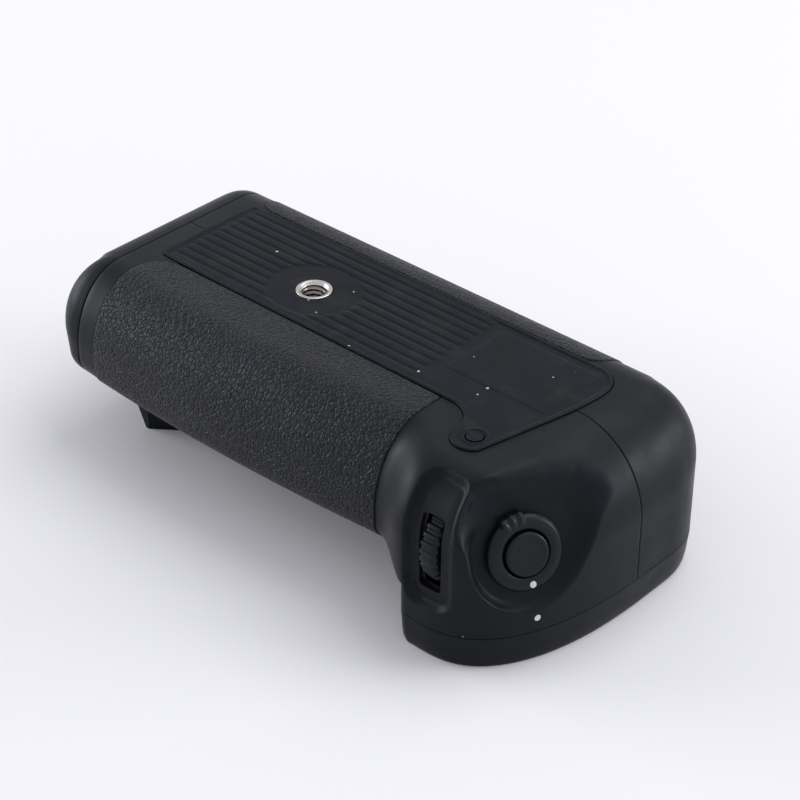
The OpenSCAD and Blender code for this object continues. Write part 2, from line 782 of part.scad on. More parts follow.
module deck_cover() {
    all_bosses = concat(front_bosses, rear_bosses);
    color("#24262a") difference() {
        union() {
            difference() {
                union() {
                    deck_form();
                    linear_extrude(deck_h) polygon([
                        [deck_x + 0.4, neck_y + 2], [deck_x + 0.4, neck_y - toe_reach],
                        [deck_x + deck_lean + 1, neck_y - toe_reach], [deck_x + deck_lean + 14, neck_y + 2]]);
                }
                translate([0, 0, seat_z]) linear_extrude(far) deck_plan(wall);
            }
            for (p = all_bosses) rod_z(p, rim_depth, deck_h, deck_boss_r);
            for (p = main_fixings) rod_z(p, rim_depth, main_z0, stud_r);
        }
        intersection() {
            translate([0, 0, -1]) linear_extrude(rim_depth + 1) deck_plan(rim_w);
            block([deck_x + deck_lean + rim_w, -far, -1], [far, far, rim_depth]);
        }
        prism_y(-far, far, [
            [deck_x - 5, -1], [deck_x + deck_lean * (1 + 1 / deck_h), -1], [deck_x, deck_h], [deck_x - 5, deck_h]]);
        for (p = all_bosses) {
            rod_z(p, rim_depth - 1, deck_h + 1, deck_fix_r);
            rod_z(p, rim_depth - 1, rim_depth + deck_head_t, deck_head_r);
        }
        for (p = main_fixings) rod_z(p, main_z0 - board_fix_len, main_z0 + 1, fix_r);
        rod_z([tripod_x, screw_y], rim_depth - 1, seat_z + 1, screw_bush_r);
        rod_z([tripod_x, wheel_y], axle_z, seat_z + 1, axle_r);
        for (p = locators) rod_z(p, rim_depth - 1, seat_z + 1, locator_r + locator_step);
        block([plug_x - connector_len / 2, plug_y - connector_w / 2, rim_depth - 1],
            [plug_x + connector_len / 2, plug_y + connector_w / 2, seat_z + 1]);
    }
}

module base_pad() {
    color("#1b1d20") difference() {
        translate([0, 0, body_h - pad_t]) linear_extrude(pad_t) pad_outline(0);
        rod_z([tripod_x, tripod_y], body_h - pad_t - 1, body_h + 1, bush_d / 2);
        rod_z([tab_x, plug_y0], body_h - plug_t, body_h + 1, plug_r);
        difference() {
            for (i = [1 : groove_n]) {
                y = pad_y0 + pad_w * i / (groove_n + 1);
                block([pad_x0 + 2, y - groove_w / 2, body_h - groove_t], [groove_x1, y + groove_w / 2, body_h + 1]);
            }
            rod_z([tripod_x, tripod_y], 0, body_h + 2, bush_d);
        }
    }
}

module pad_plug() {
    color("#17191b") rod_z([tab_x, plug_y0], body_h - plug_t, body_h - 0.1, plug_r - 0.1);
}

module front_grip_rubber() {
    color("#2b2c30") intersection() {
        difference() {
            grip_form(-rubber_proud);
            grip_form(rubber_t - rubber_proud);
        }
        front_rubber_room();
    }
}

module rear_grip_rubber() {
    color("#2b2c30") intersection() {
        difference() {
            grip_form(-rubber_proud);
            grip_form(rubber_t - rubber_proud);
        }
        rear_rubber_room();
    }
}

// Tripod socket

module tripod_bush() {
    at = [tripod_x, tripod_y];
    color("#c9c9c4") difference() {
        union() {
            rod_z(at, bush_z, body_h, bush_d / 2);
            rod_z(at, bush_z, chassis_z - 0.1, bush_d / 2 + 1.6);
        }
        rod_z(at, bush_z - 1, body_h + 1, tripod_d / 2);
        translate([tripod_x, tripod_y, body_h - 0.4]) cylinder(h = 0.5, r1 = tripod_d / 2, r2 = tripod_d / 2 + 0.5);
    }
}

module chassis_plate() {
    color("#9a9c9e") difference() {
        block([tripod_x - chassis_len / 2, tripod_y - chassis_w / 2, chassis_z],
            [tripod_x + chassis_len / 2, tripod_y + chassis_w / 2, chassis_z + chassis_t]);
        rod_z([tripod_x, tripod_y], chassis_z - 1, chassis_z + chassis_t + 1, bush_d / 2);
        for (p = chassis_fixings) rod_z(p, chassis_z - 1, chassis_z + chassis_t + 1, fix_r);
    }
}

module chassis_screws() {
    color("#8d8f92") for (p = chassis_fixings) {
        rod_z(p, chassis_z - fix_head_t, chassis_z, fix_head_r);
        rod_z(p, chassis_z - 0.5, top_z - 1.6, fix_r - 0.02);
    }
}

// Battery holder and its chamber

module chamber_frame() {
    w = chamber_w / 2;
    x0 = cap_x + 0.1;
    slot_x = [tongue_x - 0.4, tongue_x + tongue_t + 0.4];
    color("#2d3035") difference() {
        union() {
            block([x0, chamber_y - w - chamber_wall, chamber_z0 - chamber_wall],
                [chamber_x1 + chamber_wall, chamber_y + w + chamber_wall, chamber_z1 + chamber_wall]);
            prism_x(x0, x0 + mouth_t, inner_section(wall + 0.1));
        }
        block([x0 - 1, chamber_y - w, chamber_z0], [chamber_x1, chamber_y + w, chamber_z1]);
        block([slot_x[0], chamber_y - tongue_w / 2 - 0.6, chamber_z1 - 1],
            [slot_x[1], chamber_y + 7, chamber_z1 + chamber_wall + 1]);
    }
}

function contact_y(i) = chamber_y + contact_pitch * (i - 1.5);

module contact_bar(x0, x1) {
    for (i = [0 : 3]) block(
        [x0, contact_y(i) - contact_w / 2, latch_z - contact_h / 2],
        [x1, contact_y(i) + contact_w / 2, latch_z + contact_h / 2]);
}

module chamber_contacts() {
    color("#c9a24a") contact_bar(tray_x1 + contact_gap, chamber_x1);
}

module holder_tray() {
    w = tray_w / 2;
    color("#33363b") difference() {
        block([tray_x0, chamber_y - w, tray_z0], [tray_x1, chamber_y + w, tray_z1]);
        block([bay_x0, chamber_y - bay_w / 2, tray_z0 + tray_wall], [bay_x0 + bay_len, chamber_y + bay_w / 2, far]);
        block([tray_x0 + 1.2, chamber_y - bay_w / 2, tray_z0 + tray_wall],
            [bay_x0 - tray_wall, chamber_y + bay_w / 2, far]);
        rod_x(tray_x0 - 1, tray_x0 + 2, chamber_y, latch_z, spindle_r + run_gap);
        contact_bar(tray_x1 - 2 * tray_wall, tray_x1 + 1);
    }
}

module holder_contacts() {
    color("#c9a24a") contact_bar(tray_x1 - tray_wall - 0.4, tray_x1);
}

module cap_plug(x0, x1, d) {
    w = tray_w / 2;
    block([x0, chamber_y - w + d, tray_z0 + d], [x1, chamber_y + w - d, tray_z1 - d]);
}

module end_cap() {
    groove_x = cap_x + 0.6;
    color("#26282c") difference() {
        union() {
            difference() {
                intersection() {
                    grip_form(0);
                    block([-far, -far, 0], [cap_x - seam_gap, far, far]);
                }
                difference() {
                    prism_x(x_l + wall + 2, cap_x, inner_section(wall + 4));
                    rod_x(x_l, cap_x, chamber_y, latch_z, knob_r + knob_gap + wall);
                }
            }
            cap_plug(cap_x - 2, tray_x0, 0);
        }
        difference() {
            cap_plug(groove_x, groove_x + gasket_w, -1);
            cap_plug(groove_x, groove_x + gasket_w, gasket_depth);
        }
        rod_x(x_l - 1, x_l + knob_depth, chamber_y, latch_z, knob_r + knob_gap);
        rod_x(x_l, tray_x0 + 1, chamber_y, latch_z, spindle_r + run_gap);
    }
}

module cap_gasket() {
    groove_x = cap_x + 0.6;
    color("#141517") difference() {
        cap_plug(groove_x, groove_x + gasket_w, -gasket_squeeze);
        cap_plug(groove_x - 1, groove_x + gasket_w + 1, gasket_depth);
    }
}

module latch_knob() {
    face = x_l + knob_depth - knob_t;
    color("#222428") union() {
        rod_x(face, x_l + knob_depth, chamber_y, latch_z, knob_r);
        intersection() {
            rod_x(face - bar_proud, face + 0.2, chamber_y, latch_z, knob_r - 0.4);
            block([x_l, chamber_y - knob_r, latch_z - bar_w / 2], [face + 0.2, chamber_y + knob_r, latch_z + bar_w / 2]);
        }
    }
}

module latch_tongue() {
    color("#9a9c9e") union() {
        rod_x(x_l + knob_depth, tongue_x + tongue_t, chamber_y, latch_z, spindle_r);
        block([tongue_x, chamber_y, latch_z - tongue_w / 2], [tongue_x + tongue_t, chamber_y + tongue_len, latch_z + tongue_w / 2]);
    }
}

// Shutter release

module shutter_button() {
    stem = bridge_x + bridge_t - 0.6;
    color("#303338") union() {
        at_shutter(cap_skirt) cylinder(h = cap_skirt, r = shutter_d / 2);
        at_shutter(stem) cylinder(h = stem - 1, r = stem_r);
    }
}

module shutter_bridge() {
    end = bridge_len / 2;
    color("#2d3035") difference() {
        at_shutter(bridge_x + bridge_t) union() {
            block([-end, -bridge_w / 2, 0], [end, bridge_w / 2, bridge_t]);
            for (x = [-end, end - bridge_leg])
                block([x, -bridge_w / 2, 0], [x + bridge_leg, bridge_w / 2, bridge_x + bridge_t - boss_in]);
        }
        at_shutter(bridge_x + bridge_t + 1) cylinder(h = bridge_t + 2, r = stem_r + run_gap);
    }
}

module shutter_switch() {
    depth = shutter_travel - 0.6 + 0.4;
    color("#1d1f22") difference() {
        at_shutter(switch_end) block([-switch_w / 2, -switch_w / 2, 0], [switch_w / 2, switch_w / 2, switch_end - bridge_x - bridge_t]);
        at_shutter(bridge_x + bridge_t + depth) cylinder(h = depth + 1, r = stem_r + 0.4);
    }
}

module lock_collar() {
    foot = dish_floor - 0.1;
    a0 = nub_a - nub_span / 2;
    color("#2a2c30") difference() {
        union() {
            at_shutter(foot) cylinder(h = foot - button_proud, r = collar_d / 2);
            at_shutter(foot) linear_extrude(foot - button_proud - 0.3)
                polygon(concat(arc([0, 0], collar_d / 2 - 2, a0 + nub_span, a0), [
                    collar_d / 2 * [cos(a0 - 4), sin(a0 - 4)],
                    (collar_d / 2 + nub_out) * [cos(a0 + 5), sin(a0 + 5)]],
                    arc([0, 0], collar_d / 2 + nub_out, a0 + 6, a0 + nub_span - 6), [
                    (collar_d / 2 + nub_out) * [cos(a0 + nub_span - 5), sin(a0 + nub_span - 5)],
                    collar_d / 2 * [cos(a0 + nub_span + 4), sin(a0 + nub_span + 4)]]));
            at_shutter(sleeve_end) cylinder(h = sleeve_end - foot + 0.2, r = sleeve_r);
        }
        at_shutter(sleeve_end + 1) cylinder(h = sleeve_end + 2, r = collar_in_r);
        collar_dot_place(button_proud + dot_t, dot_t + 1);
    }
}

module collar_dot_place(down, h) {
    at_shutter(down) translate((collar_in_r + collar_d / 2) / 2 * [cos(dot_a), sin(dot_a), 0]) cylinder(h = h, r = dot_r);
}

module collar_clip() {
    color("#a5a7aa") difference() {
        at_shutter(boss_in + 0.1 + clip_t) cylinder(h = clip_t, r = clip_r);
        at_shutter(boss_in + 0.1 + clip_t + 1) cylinder(h = clip_t + 2, r = sleeve_r + 0.01);
    }
}

module collar_dot() {
    color("#f2f2ee") collar_dot_place(button_proud + dot_t, dot_t);
}

module index_dot() {
    color("#f2f2ee") intersection() {
        difference() {
            grip_form(0);
            grip_form(dot_t);
        }
        index_place();
    }
}

// Command dials

module dial(at) {
    difference() {
        translate(at - [dial_w / 2, 0, 0]) rotate([0, 90, 0]) ribbed(dial_r, dial_ribs, rib_depth, dial_w);
        rod_x(at[0] - dial_w, at[0] + dial_w, at[1], at[2], axle_r + run_gap);
    }
}

// Forked bracket: wall_y is the casing face that its ears stand on, base_y the far side of its base
module dial_bracket(at, wall_y, base_y) {
    in = dial_w / 2 + dial_gap;
    dir = base_y > wall_y ? 1 : -1;
    inner_y = base_y - dir * base_t;
    difference() {
        union() {
            for (side = [-1, 1]) {
                x = at[0] + side * (in + ear_t / 2);
                block([x - ear_t / 2, min(wall_y, base_y), at[2] - ear_h / 2],
                    [x + ear_t / 2, max(wall_y, base_y), at[2] + ear_h / 2]);
            }
            block([at[0] - in - ear_t / 2, min(inner_y, base_y), at[2] - ear_h / 2],
                [at[0] + in + ear_t / 2, max(inner_y, base_y), at[2] + ear_h / 2]);
        }
        rod_x(at[0] - far / 2, at[0] + far / 2, at[1], at[2], axle_r);
    }
}

module dial_axle(at) {
    half = dial_w / 2 + dial_gap + ear_t;
    rod_x(at[0] - half, at[0] + half, at[1], at[2], axle_r);
}

module sub_dial() {
    color("#2f3136") dial([sub_x, sub_y, sub_z]);
}

module sub_dial_axle() {
    color("#a5a7aa") dial_axle([sub_x, sub_y, sub_z]);
}

module sub_dial_bracket() {
    color("#2d3035") dial_bracket([sub_x, sub_y, sub_z], sub_in, sub_y + dial_r + base_gap + base_t);
}

module main_dial() {
    color("#2f3136") dial([main_x, main_y, main_z]);
}

module main_dial_axle() {
    color("#a5a7aa") dial_axle([main_x, main_y, main_z]);
}

module main_dial_bracket() {
    color("#2d3035") dial_bracket([main_x, main_y, main_z], back_in, main_y - dial_r - base_gap - base_t);
}

// Rear button, selector and the board behind them

module rear_button() {
    color("#2c2e33") union() {
        rod_y(rear_x, back_in - 0.5, y_b + rear_proud, rear_z, button_r);
        rod_y(rear_x, back_in - flange_t, back_in, rear_z, flange_r);
        rod_y(rear_x, rear_switch_t + rear_travel + 0.1, back_in - flange_t + 0.5, rear_z, stem_r);
    }
}

module rear_switch() {
    w = rear_switch_w / 2;
    color("#8f9194") block([rear_x - w, board_y + board_t, rear_z - w], [rear_x + w, rear_switch_t, rear_z + w]);
}

module control_board() {
    color("#2f5d3e") block([board_x0, board_y, board_z0], [board_x1, board_y + board_t, board_z1]);
}

module selector_base() {
    y0 = board_y + board_t;
    in = gimbal_w / 2 + 0.3;
    color("#1d1f22") difference() {
        union() {
            block([select_x - in - ear_t, y0, rear_z - gimbal_h / 2], [select_x + in + ear_t, y0 + 1, rear_z + gimbal_h / 2]);
            for (x = [-in - ear_t, in])
                block([select_x + x, y0, rear_z - yoke_w / 2], [select_x + x + ear_t, select_y + 1.2, rear_z + yoke_w / 2]);
        }
        rod_x(select_x - 2 * in, select_x + 2 * in, select_y, rear_z, pivot_r + pivot_gap);
    }
}

module selector_gimbal() {
    w = gimbal_w / 2;
    h = gimbal_h / 2;
    o = gimbal_open / 2;
    y0 = select_y - gimbal_t / 2;
    y1 = select_y + gimbal_t / 2;
    color("#a5a7aa") difference() {
        union() {
            difference() {
                block([select_x - w, y0, rear_z - h], [select_x + w, y1, rear_z + h]);
                block([select_x - o, y0 - 1, rear_z - o], [select_x + o, y1 + 1, rear_z + o]);
            }
            rod_x(select_x - w - 0.3 - ear_t, select_x - o - 0.2, select_y, rear_z, pivot_r);
            rod_x(select_x + o + 0.2, select_x + w + 0.3 + ear_t, select_y, rear_z, pivot_r);
        }
        rod_z([select_x, select_y], rear_z - far, rear_z + far, pivot_r + pivot_gap);
    }
}

module selector_pad() {
    y1 = y_b + select_proud;
    s = yoke_w / 2;
    color("#2c2e33") union() {
        rod_y(select_x, y1 - select_t, y1, rear_z, select_r);
        block([select_x - s, select_y - gimbal_t / 2, rear_z - s], [select_x + s, y1 - select_t + 0.5, rear_z + s]);
        rod_z([select_x, select_y], rear_z - gimbal_h / 2 + 0.1, rear_z + gimbal_h / 2 - 0.1, pivot_r);
    }
}

// Camera attachment

module attachment_wheel() {
    color("#2f3136") difference() {
        union() {
            translate([tripod_x, wheel_y, wheel_z]) ribbed(wheel_r, wheel_ribs, rib_depth, wheel_t);
            translate([tripod_x, wheel_y, gear_z]) rotate([0, 0, -90]) linear_extrude(wheel_z - gear_z + 0.5)
                polygon(gear_points(pinion_teeth, gear_m, backlash));
        }
        rod_z([tripod_x, wheel_y], gear_z - 1, wheel_z + wheel_t + 1, axle_r + run_gap);
    }
}

module wheel_axle() {
    top = wheel_z + wheel_t + 0.2;
    color("#a5a7aa") union() {
        rod_z([tripod_x, wheel_y], axle_z, top + axle_head_t, axle_r);
        rod_z([tripod_x, wheel_y], top, top + axle_head_t, axle_head_r);
    }
}

module camera_screw() {
    at = [tripod_x, screw_y];
    color("#b4b6b8") union() {
        rod_z(at, rim_depth - screw_reach, rim_depth, screw_r);
        rod_z(at, rim_depth - 0.5, gear_z, screw_r - journal_step);
        rod_z(at, gear_z - 0.2, gear_z + gear_t + 0.5, shank_r);
        rod_z(at, gear_z + gear_t, gear_z + gear_t + head_t, head_r);
    }
}

module screw_gear() {
    color("#c2a25a") difference() {
        translate([tripod_x, screw_y, gear_z]) rotate([0, 0, 90 + 180 / gear_teeth]) linear_extrude(gear_t)
            polygon(gear_points(gear_teeth, gear_m, backlash));
        rod_z([tripod_x, screw_y], gear_z - 1, gear_z + gear_t + 1, shank_r + 0.01);
    }
}

module screw_bush() {
    color("#c2a25a") difference() {
        rod_z([tripod_x, screw_y], rim_depth, seat_z, screw_bush_r);
        rod_z([tripod_x, screw_y], rim_depth - 1, seat_z + 1, screw_r - journal_step + run_gap);
    }
}

// Main board, connector, pins and deck screws

module main_board() {
    color("#2f5d3e") difference() {
        block([main_x0, main_y0, main_z0], [main_x1, main_y1, main_z0 + main_t]);
        for (p = main_fixings) rod_z(p, main_z0 - 1, main_z0 + main_t + 1, fix_r);
    }
}

module board_screws() {
    top = main_z0 + main_t;
    color("#8d8f92") for (p = main_fixings) {
        rod_z(p, top, top + fix_head_t, fix_head_r);
        rod_z(p, main_z0 - board_fix_len + 0.4, top + 0.5, fix_r - 0.02);
    }
}

module connector_block() {
    color("#1d1f22") block([plug_x - connector_len / 2, plug_y - connector_w / 2, connector_z],
        [plug_x + connector_len / 2, plug_y + connector_w / 2, main_z0]);
}

module connector_pins() {
    color("#c9a24a") for (i = [0 : pin_count - 1])
        rod_z([plug_x + pin_pitch * (i - (pin_count - 1) / 2), plug_y], connector_z - pin_len, connector_z, pin_r);
}

module locating_pins() {
    color("#b4b6b8") for (p = locators) {
        rod_z(p, rim_depth - locator_len, rim_depth + 0.5, locator_r);
        rod_z(p, rim_depth, seat_z, locator_r + locator_step);
    }
}

module deck_screws() {
    color("#8d8f92") for (p = concat(front_bosses, rear_bosses)) {
        rod_z(p, rim_depth, rim_depth + deck_head_t, deck_head_r - 0.1);
        rod_z(p, rim_depth + 0.5, deck_h + deck_fix_len - 0.5, deck_fix_r - 0.02);
    }
}

front_casing();
rear_casing();
deck_cover();
base_pad();
pad_plug();
front_grip_rubber();
rear_grip_rubber();
tripod_bush();
chassis_plate();
chassis_screws();
chamber_frame();
chamber_contacts();
holder_tray();
holder_contacts();
end_cap();
cap_gasket();
latch_knob();
latch_tongue();
shutter_button();
shutter_bridge();
shutter_switch();
lock_collar();
collar_clip();
collar_dot();
index_dot();
sub_dial();
sub_dial_axle();
sub_dial_bracket();
main_dial();
main_dial_axle();
main_dial_bracket();
rear_button();
rear_switch();
control_board();
selector_base();
selector_gimbal();
selector_pad();
attachment_wheel();
wheel_axle();
camera_screw();
screw_gear();
screw_bush();
main_board();
board_screws();
connector_block();
connector_pins();
locating_pins();
deck_screws();
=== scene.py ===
# Camera battery grip: the looks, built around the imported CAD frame
import json
import math

import bpy
import bmesh
import numpy as np
from mathutils import Matrix, Vector


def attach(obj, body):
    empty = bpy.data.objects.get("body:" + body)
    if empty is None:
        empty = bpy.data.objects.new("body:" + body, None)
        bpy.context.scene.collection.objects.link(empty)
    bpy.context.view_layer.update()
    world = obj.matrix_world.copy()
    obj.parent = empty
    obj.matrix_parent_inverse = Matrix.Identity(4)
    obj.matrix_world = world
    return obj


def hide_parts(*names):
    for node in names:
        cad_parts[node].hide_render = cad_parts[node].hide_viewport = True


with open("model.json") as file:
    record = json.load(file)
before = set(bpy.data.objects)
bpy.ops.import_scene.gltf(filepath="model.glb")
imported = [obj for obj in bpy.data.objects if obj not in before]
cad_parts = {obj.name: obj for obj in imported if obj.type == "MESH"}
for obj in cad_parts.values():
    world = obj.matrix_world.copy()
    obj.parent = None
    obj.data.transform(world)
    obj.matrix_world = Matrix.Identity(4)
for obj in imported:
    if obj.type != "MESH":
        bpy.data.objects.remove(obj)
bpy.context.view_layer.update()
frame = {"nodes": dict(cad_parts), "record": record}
NODES = frame["nodes"]
MM = 0.001

# Sizes of the casing in millimetres, from the CAD except for WALL
X_L = -75.0
X_R = 75.0
Y_F = -37.05
Y_B = 35.25
GRIP_Y = Y_B - 66.1
NECK_Y = Y_B - 46.5
SEAM_Y = Y_B - 29.1
BODY_H = 45.0
TOP_Z = 44.5
UNDER_Z = 16.4
DECK_H = 8.5
DECK_X = X_L + 13.5
CORNER_INSET = 0.3
CAP_X = X_L + 9.6
GRIP_CROWN = 2.6
CORNER_R = 8.0
BACK_R = 9.0
CURVE_N = 2.4
HEAD_A = 25.5
HEAD_CX = X_R - HEAD_A
HEAD_CY = Y_B - 23.5
HEAD_B = HEAD_CY - Y_F
BACK_A = 15.5
BACK_B = 17.5
BACK_CX = X_R - BACK_A
BACK_CY = Y_B - BACK_B
FLARE_X0 = HEAD_CX - 18.5
FLARE_X1 = HEAD_CX - 5
LOW_X0 = HEAD_CX - 22
LOW_X1 = HEAD_CX - 4
ROUND_FRONT = 15.0
ROUND_HEAD = 13.5
ROUND_BACK = 11.5
ROUND_LEFT = 8.5
ROUND_END = 18.0
RISE_FRONT = 19.0
RISE_HEAD = 16.0
RISE_BACK = 11.5
RISE_LEFT = 8.0
RISE_END = 20.0
LOW_ROUND = 6.4
LOW_PART = LOW_ROUND / (NECK_Y - GRIP_Y)
FILLET = 2.5
FILLET_PART = FILLET / (NECK_Y - GRIP_Y)
END_LEAN = 1.4
END_DRAFT = 0.15
NECK_DRAFT = 0.05
SEAM_GAP = 0.15
DECK_TUCK = [[0, 1.2], [1, 0.8], [3, 0.45], [DECK_H, 0]]
WALL = 2.0
LIP = 0.18

# Where front, back and head begin, a distance out of reach, and the open end of a box
SIDE_Y = 15.0
HEAD_X = 40.0
FAR = 9.0
BEYOND = 90.0

# Base pad and rubber panels
PAD_X0 = X_L + 15.1
PAD_X1 = X_R - 18.6
PAD_Y1 = Y_B - 12.3
PAD_DEPTH = 32.2
PAD_Y0 = PAD_Y1 - PAD_DEPTH
PAD_T = 1.4
TAB_R = 5.2
TAB_X = PAD_X1 - 10.2
HOLLOW_R = 7.0
TAB_Y = PAD_Y0 - HOLLOW_R
PLUG_AT = (TAB_X, TAB_Y + 0.3)
PLUG_R = 2.0
RUBBER_X0 = X_L + 15.5
RUBBER_X1 = X_R - 44
REAR_X1 = X_R - 26.5
REAR_Z = 30.5
RUBBER_GAP = 0.3
RUBBER_PROUD = 0.25
RUBBER_T = 1.2
RUBBER_UNDER = 8.0
TRIPOD = (X_L + 54.5, Y_B - 31.5)
BUSH_R = 4.35
BUSH_LEN = 6.0

# Shutter release
SHUTTER_AZ = math.radians(26)
SHUTTER_EL = math.radians(18)
SHUTTER_TOP = np.array([X_R - 8.33, Y_F + 15.05, DECK_H + 18.7])
COS_AZ = math.cos(SHUTTER_AZ)
SIN_AZ = math.sin(SHUTTER_AZ)
COS_EL = math.cos(SHUTTER_EL)
SIN_EL = math.sin(SHUTTER_EL)
AXIS_OUT = np.array([COS_EL * COS_AZ, -COS_EL * SIN_AZ, SIN_EL])
AXIS_DOWN = np.array([SIN_EL * COS_AZ, -SIN_EL * SIN_AZ, -COS_EL])
AXIS_SIDE = np.array([SIN_AZ, COS_AZ, 0.0])
BUTTON_R = 4.9
BUTTON_PROUD = 0.6
COLLAR_R = 8.65
COLLAR_IN = 5.25
COLLAR_H = 2.4
DISH_FLOOR = BUTTON_PROUD + COLLAR_H
DISH_R = 13.6
DISH_SIDE = [[-1.1, 1.53], [-1.31, -0.68], [-1.03, -0.9], [-0.81, -0.985], [-0.37, -1.02]]
SLEEVE_R = 6.4
NUB_A = 197.0
NUB_SPAN = 36.0
DOT_R = 0.75
DOT_A = math.radians(5.2)
INDEX_R = DISH_R + 1.8

# Dials, rear controls and camera side
DIAL_R = 10.0
DIAL_W = 4.6
DIAL_RIBS = 30
AXLE_R = 1.5
SUB = np.array([X_R - 24.15, Y_F + 1.85 - 1.6 + DIAL_R, DECK_H + 18])
MAIN = np.array([X_R - 20, Y_B + 1.6 - DIAL_R, DECK_H + 11.3])
RECESS_X0 = SUB[0] - 6.6
RECESS_X1 = SUB[0] + 7.4
RECESS_Z0 = DECK_H + 4.3
RECESS_R = 5.0
RECESS_DEPTH = 1.85
RECESS_TURN = math.radians(74)
DIAL_ROOM = 0.25
WINDOW_HALF_X = DIAL_W / 2 + 0.7
WINDOW_HALF_Z = 9.2
WINDOW_R = 0.9
REAR_AT = (X_R - 32, DECK_H + 10.5)
REAR_R = 4.0
SELECT_AT = (X_R - 46, DECK_H + 10.5)
SELECT_R = 6.2
WHEEL_R = 11.5
WHEEL_T = 5.0
WHEEL_Z = 9.4
WHEEL_SLOT = 11.0
CHAMBER_Y = (GRIP_Y + Y_B) / 2 - 2.7
LATCH_Z = 28.85
CHAMBER_AT = [0, CHAMBER_Y, LATCH_Z]
LATCH_AT = [X_L, CHAMBER_Y, LATCH_Z]
KNOB_R = 7.6
KNOB_DEPTH = 3.7
SPINDLE_BORE = 2.1


# Surface of the casing

def smooth(t):
    u = np.clip(t, 0, 1)
    return u * u * (3 - 2 * u)


def smooth_max(a, b, k):
    h = np.clip(0.5 + 0.5 * (a - b) / k, 0, 1)
    return b + (a - b) * h + k * h * (1 - h)


def flare(x):
    return smooth((x - FLARE_X0) / (FLARE_X1 - FLARE_X0))


def front_y(x):
    mid = (X_L + FLARE_X0) / 2
    u = (x - mid) / (FLARE_X0 - mid)
    return GRIP_Y - GRIP_CROWN * np.maximum(0, 1 - u * u) + (Y_F - GRIP_Y) * flare(x)


def low_y(x):
    return NECK_Y + (front_y(x) - NECK_Y) * smooth((x - LOW_X0) / (LOW_X1 - LOW_X0))


def even(points, count):
    """Points at even steps along a polyline, without its last point."""
    p = np.asarray(points, float)
    s = np.concatenate([[0], np.cumsum(np.hypot(*np.diff(p, axis=0).T))])
    q = np.linspace(0, s[-1], count + 1)[:-1]
    return np.stack([np.interp(q, s, p[:, 0]), np.interp(q, s, p[:, 1])], 1)


def arc(cx, cy, r, a0, a1, n=24):
    t = np.radians(np.linspace(a0, a1, n + 1))
    return np.stack([cx + r * np.cos(t), cy + r * np.sin(t)], 1)


def outline():
    """Stations around the casing seen from above, from the front left corner on through the head."""
    t = np.linspace(0, math.pi / 2, 400)
    e = 2 / CURVE_N
    cap_front = float(front_y(X_L + CORNER_R))
    xs = np.linspace(X_L + CORNER_R, FLARE_X0, 200)
    grip = np.stack([xs, front_y(xs)], 1)
    xs = np.linspace(FLARE_X0, HEAD_CX, 200)
    neck = np.stack([xs, front_y(xs)], 1)
    head = np.stack([HEAD_CX + HEAD_A * np.sin(t) ** e, HEAD_CY - HEAD_B * np.cos(t) ** e], 1)
    back = np.stack([BACK_CX + BACK_A * np.cos(t) ** e, BACK_CY + BACK_B * np.sin(t) ** e], 1)
    back = np.concatenate([head[-1:], back])
    rear = [[BACK_CX, Y_B], [X_L + BACK_R, Y_B]]
    left_back = arc(X_L + BACK_R, Y_B - BACK_R, BACK_R, 90, 180)
    left = [[X_L, Y_B - BACK_R], [X_L, cap_front + CORNER_R]]
    left_front = arc(X_L + CORNER_R, cap_front + CORNER_R, CORNER_R, 180, 270)
    return np.concatenate([
        even(grip, 98), even(neck, 44), even(head, 140), even(back, 52), even(rear, 150),
        even(left_back, 18), even(left, 44), even(left_front, 16)])


def core(p):
    """Where the rounding of the upper edge ends on the flat top."""
    x, y = p.T
    y0 = front_y(np.minimum(x, HEAD_CX)) + ROUND_FRONT + (ROUND_HEAD - ROUND_FRONT) * flare(x)
    cx = np.clip(x, X_L + ROUND_LEFT, X_R - ROUND_END)
    cy = np.minimum(np.maximum(y, y0), Y_B - ROUND_BACK)
    return np.stack([cx, cy], 1)


def rise(p):
    v = p - core(p)
    ax = np.abs(v[:, 0])
    ay = np.abs(v[:, 1])
    rx = np.where(v[:, 0] < 0, RISE_LEFT, RISE_END)
    ry = np.where(v[:, 1] > 0, RISE_BACK, RISE_FRONT + (RISE_HEAD - RISE_FRONT) * flare(p[:, 0]))
    return (ax * rx + ay * ry) / (ax + ay)


def foot(p):
    x = np.maximum(p[:, 0], DECK_X + END_DRAFT * (p[:, 0] - X_L))
    y = low_y(x)
    return np.stack([x, np.maximum(p[:, 1], y) + NECK_DRAFT * np.minimum(0, p[:, 1] - y)], 1)


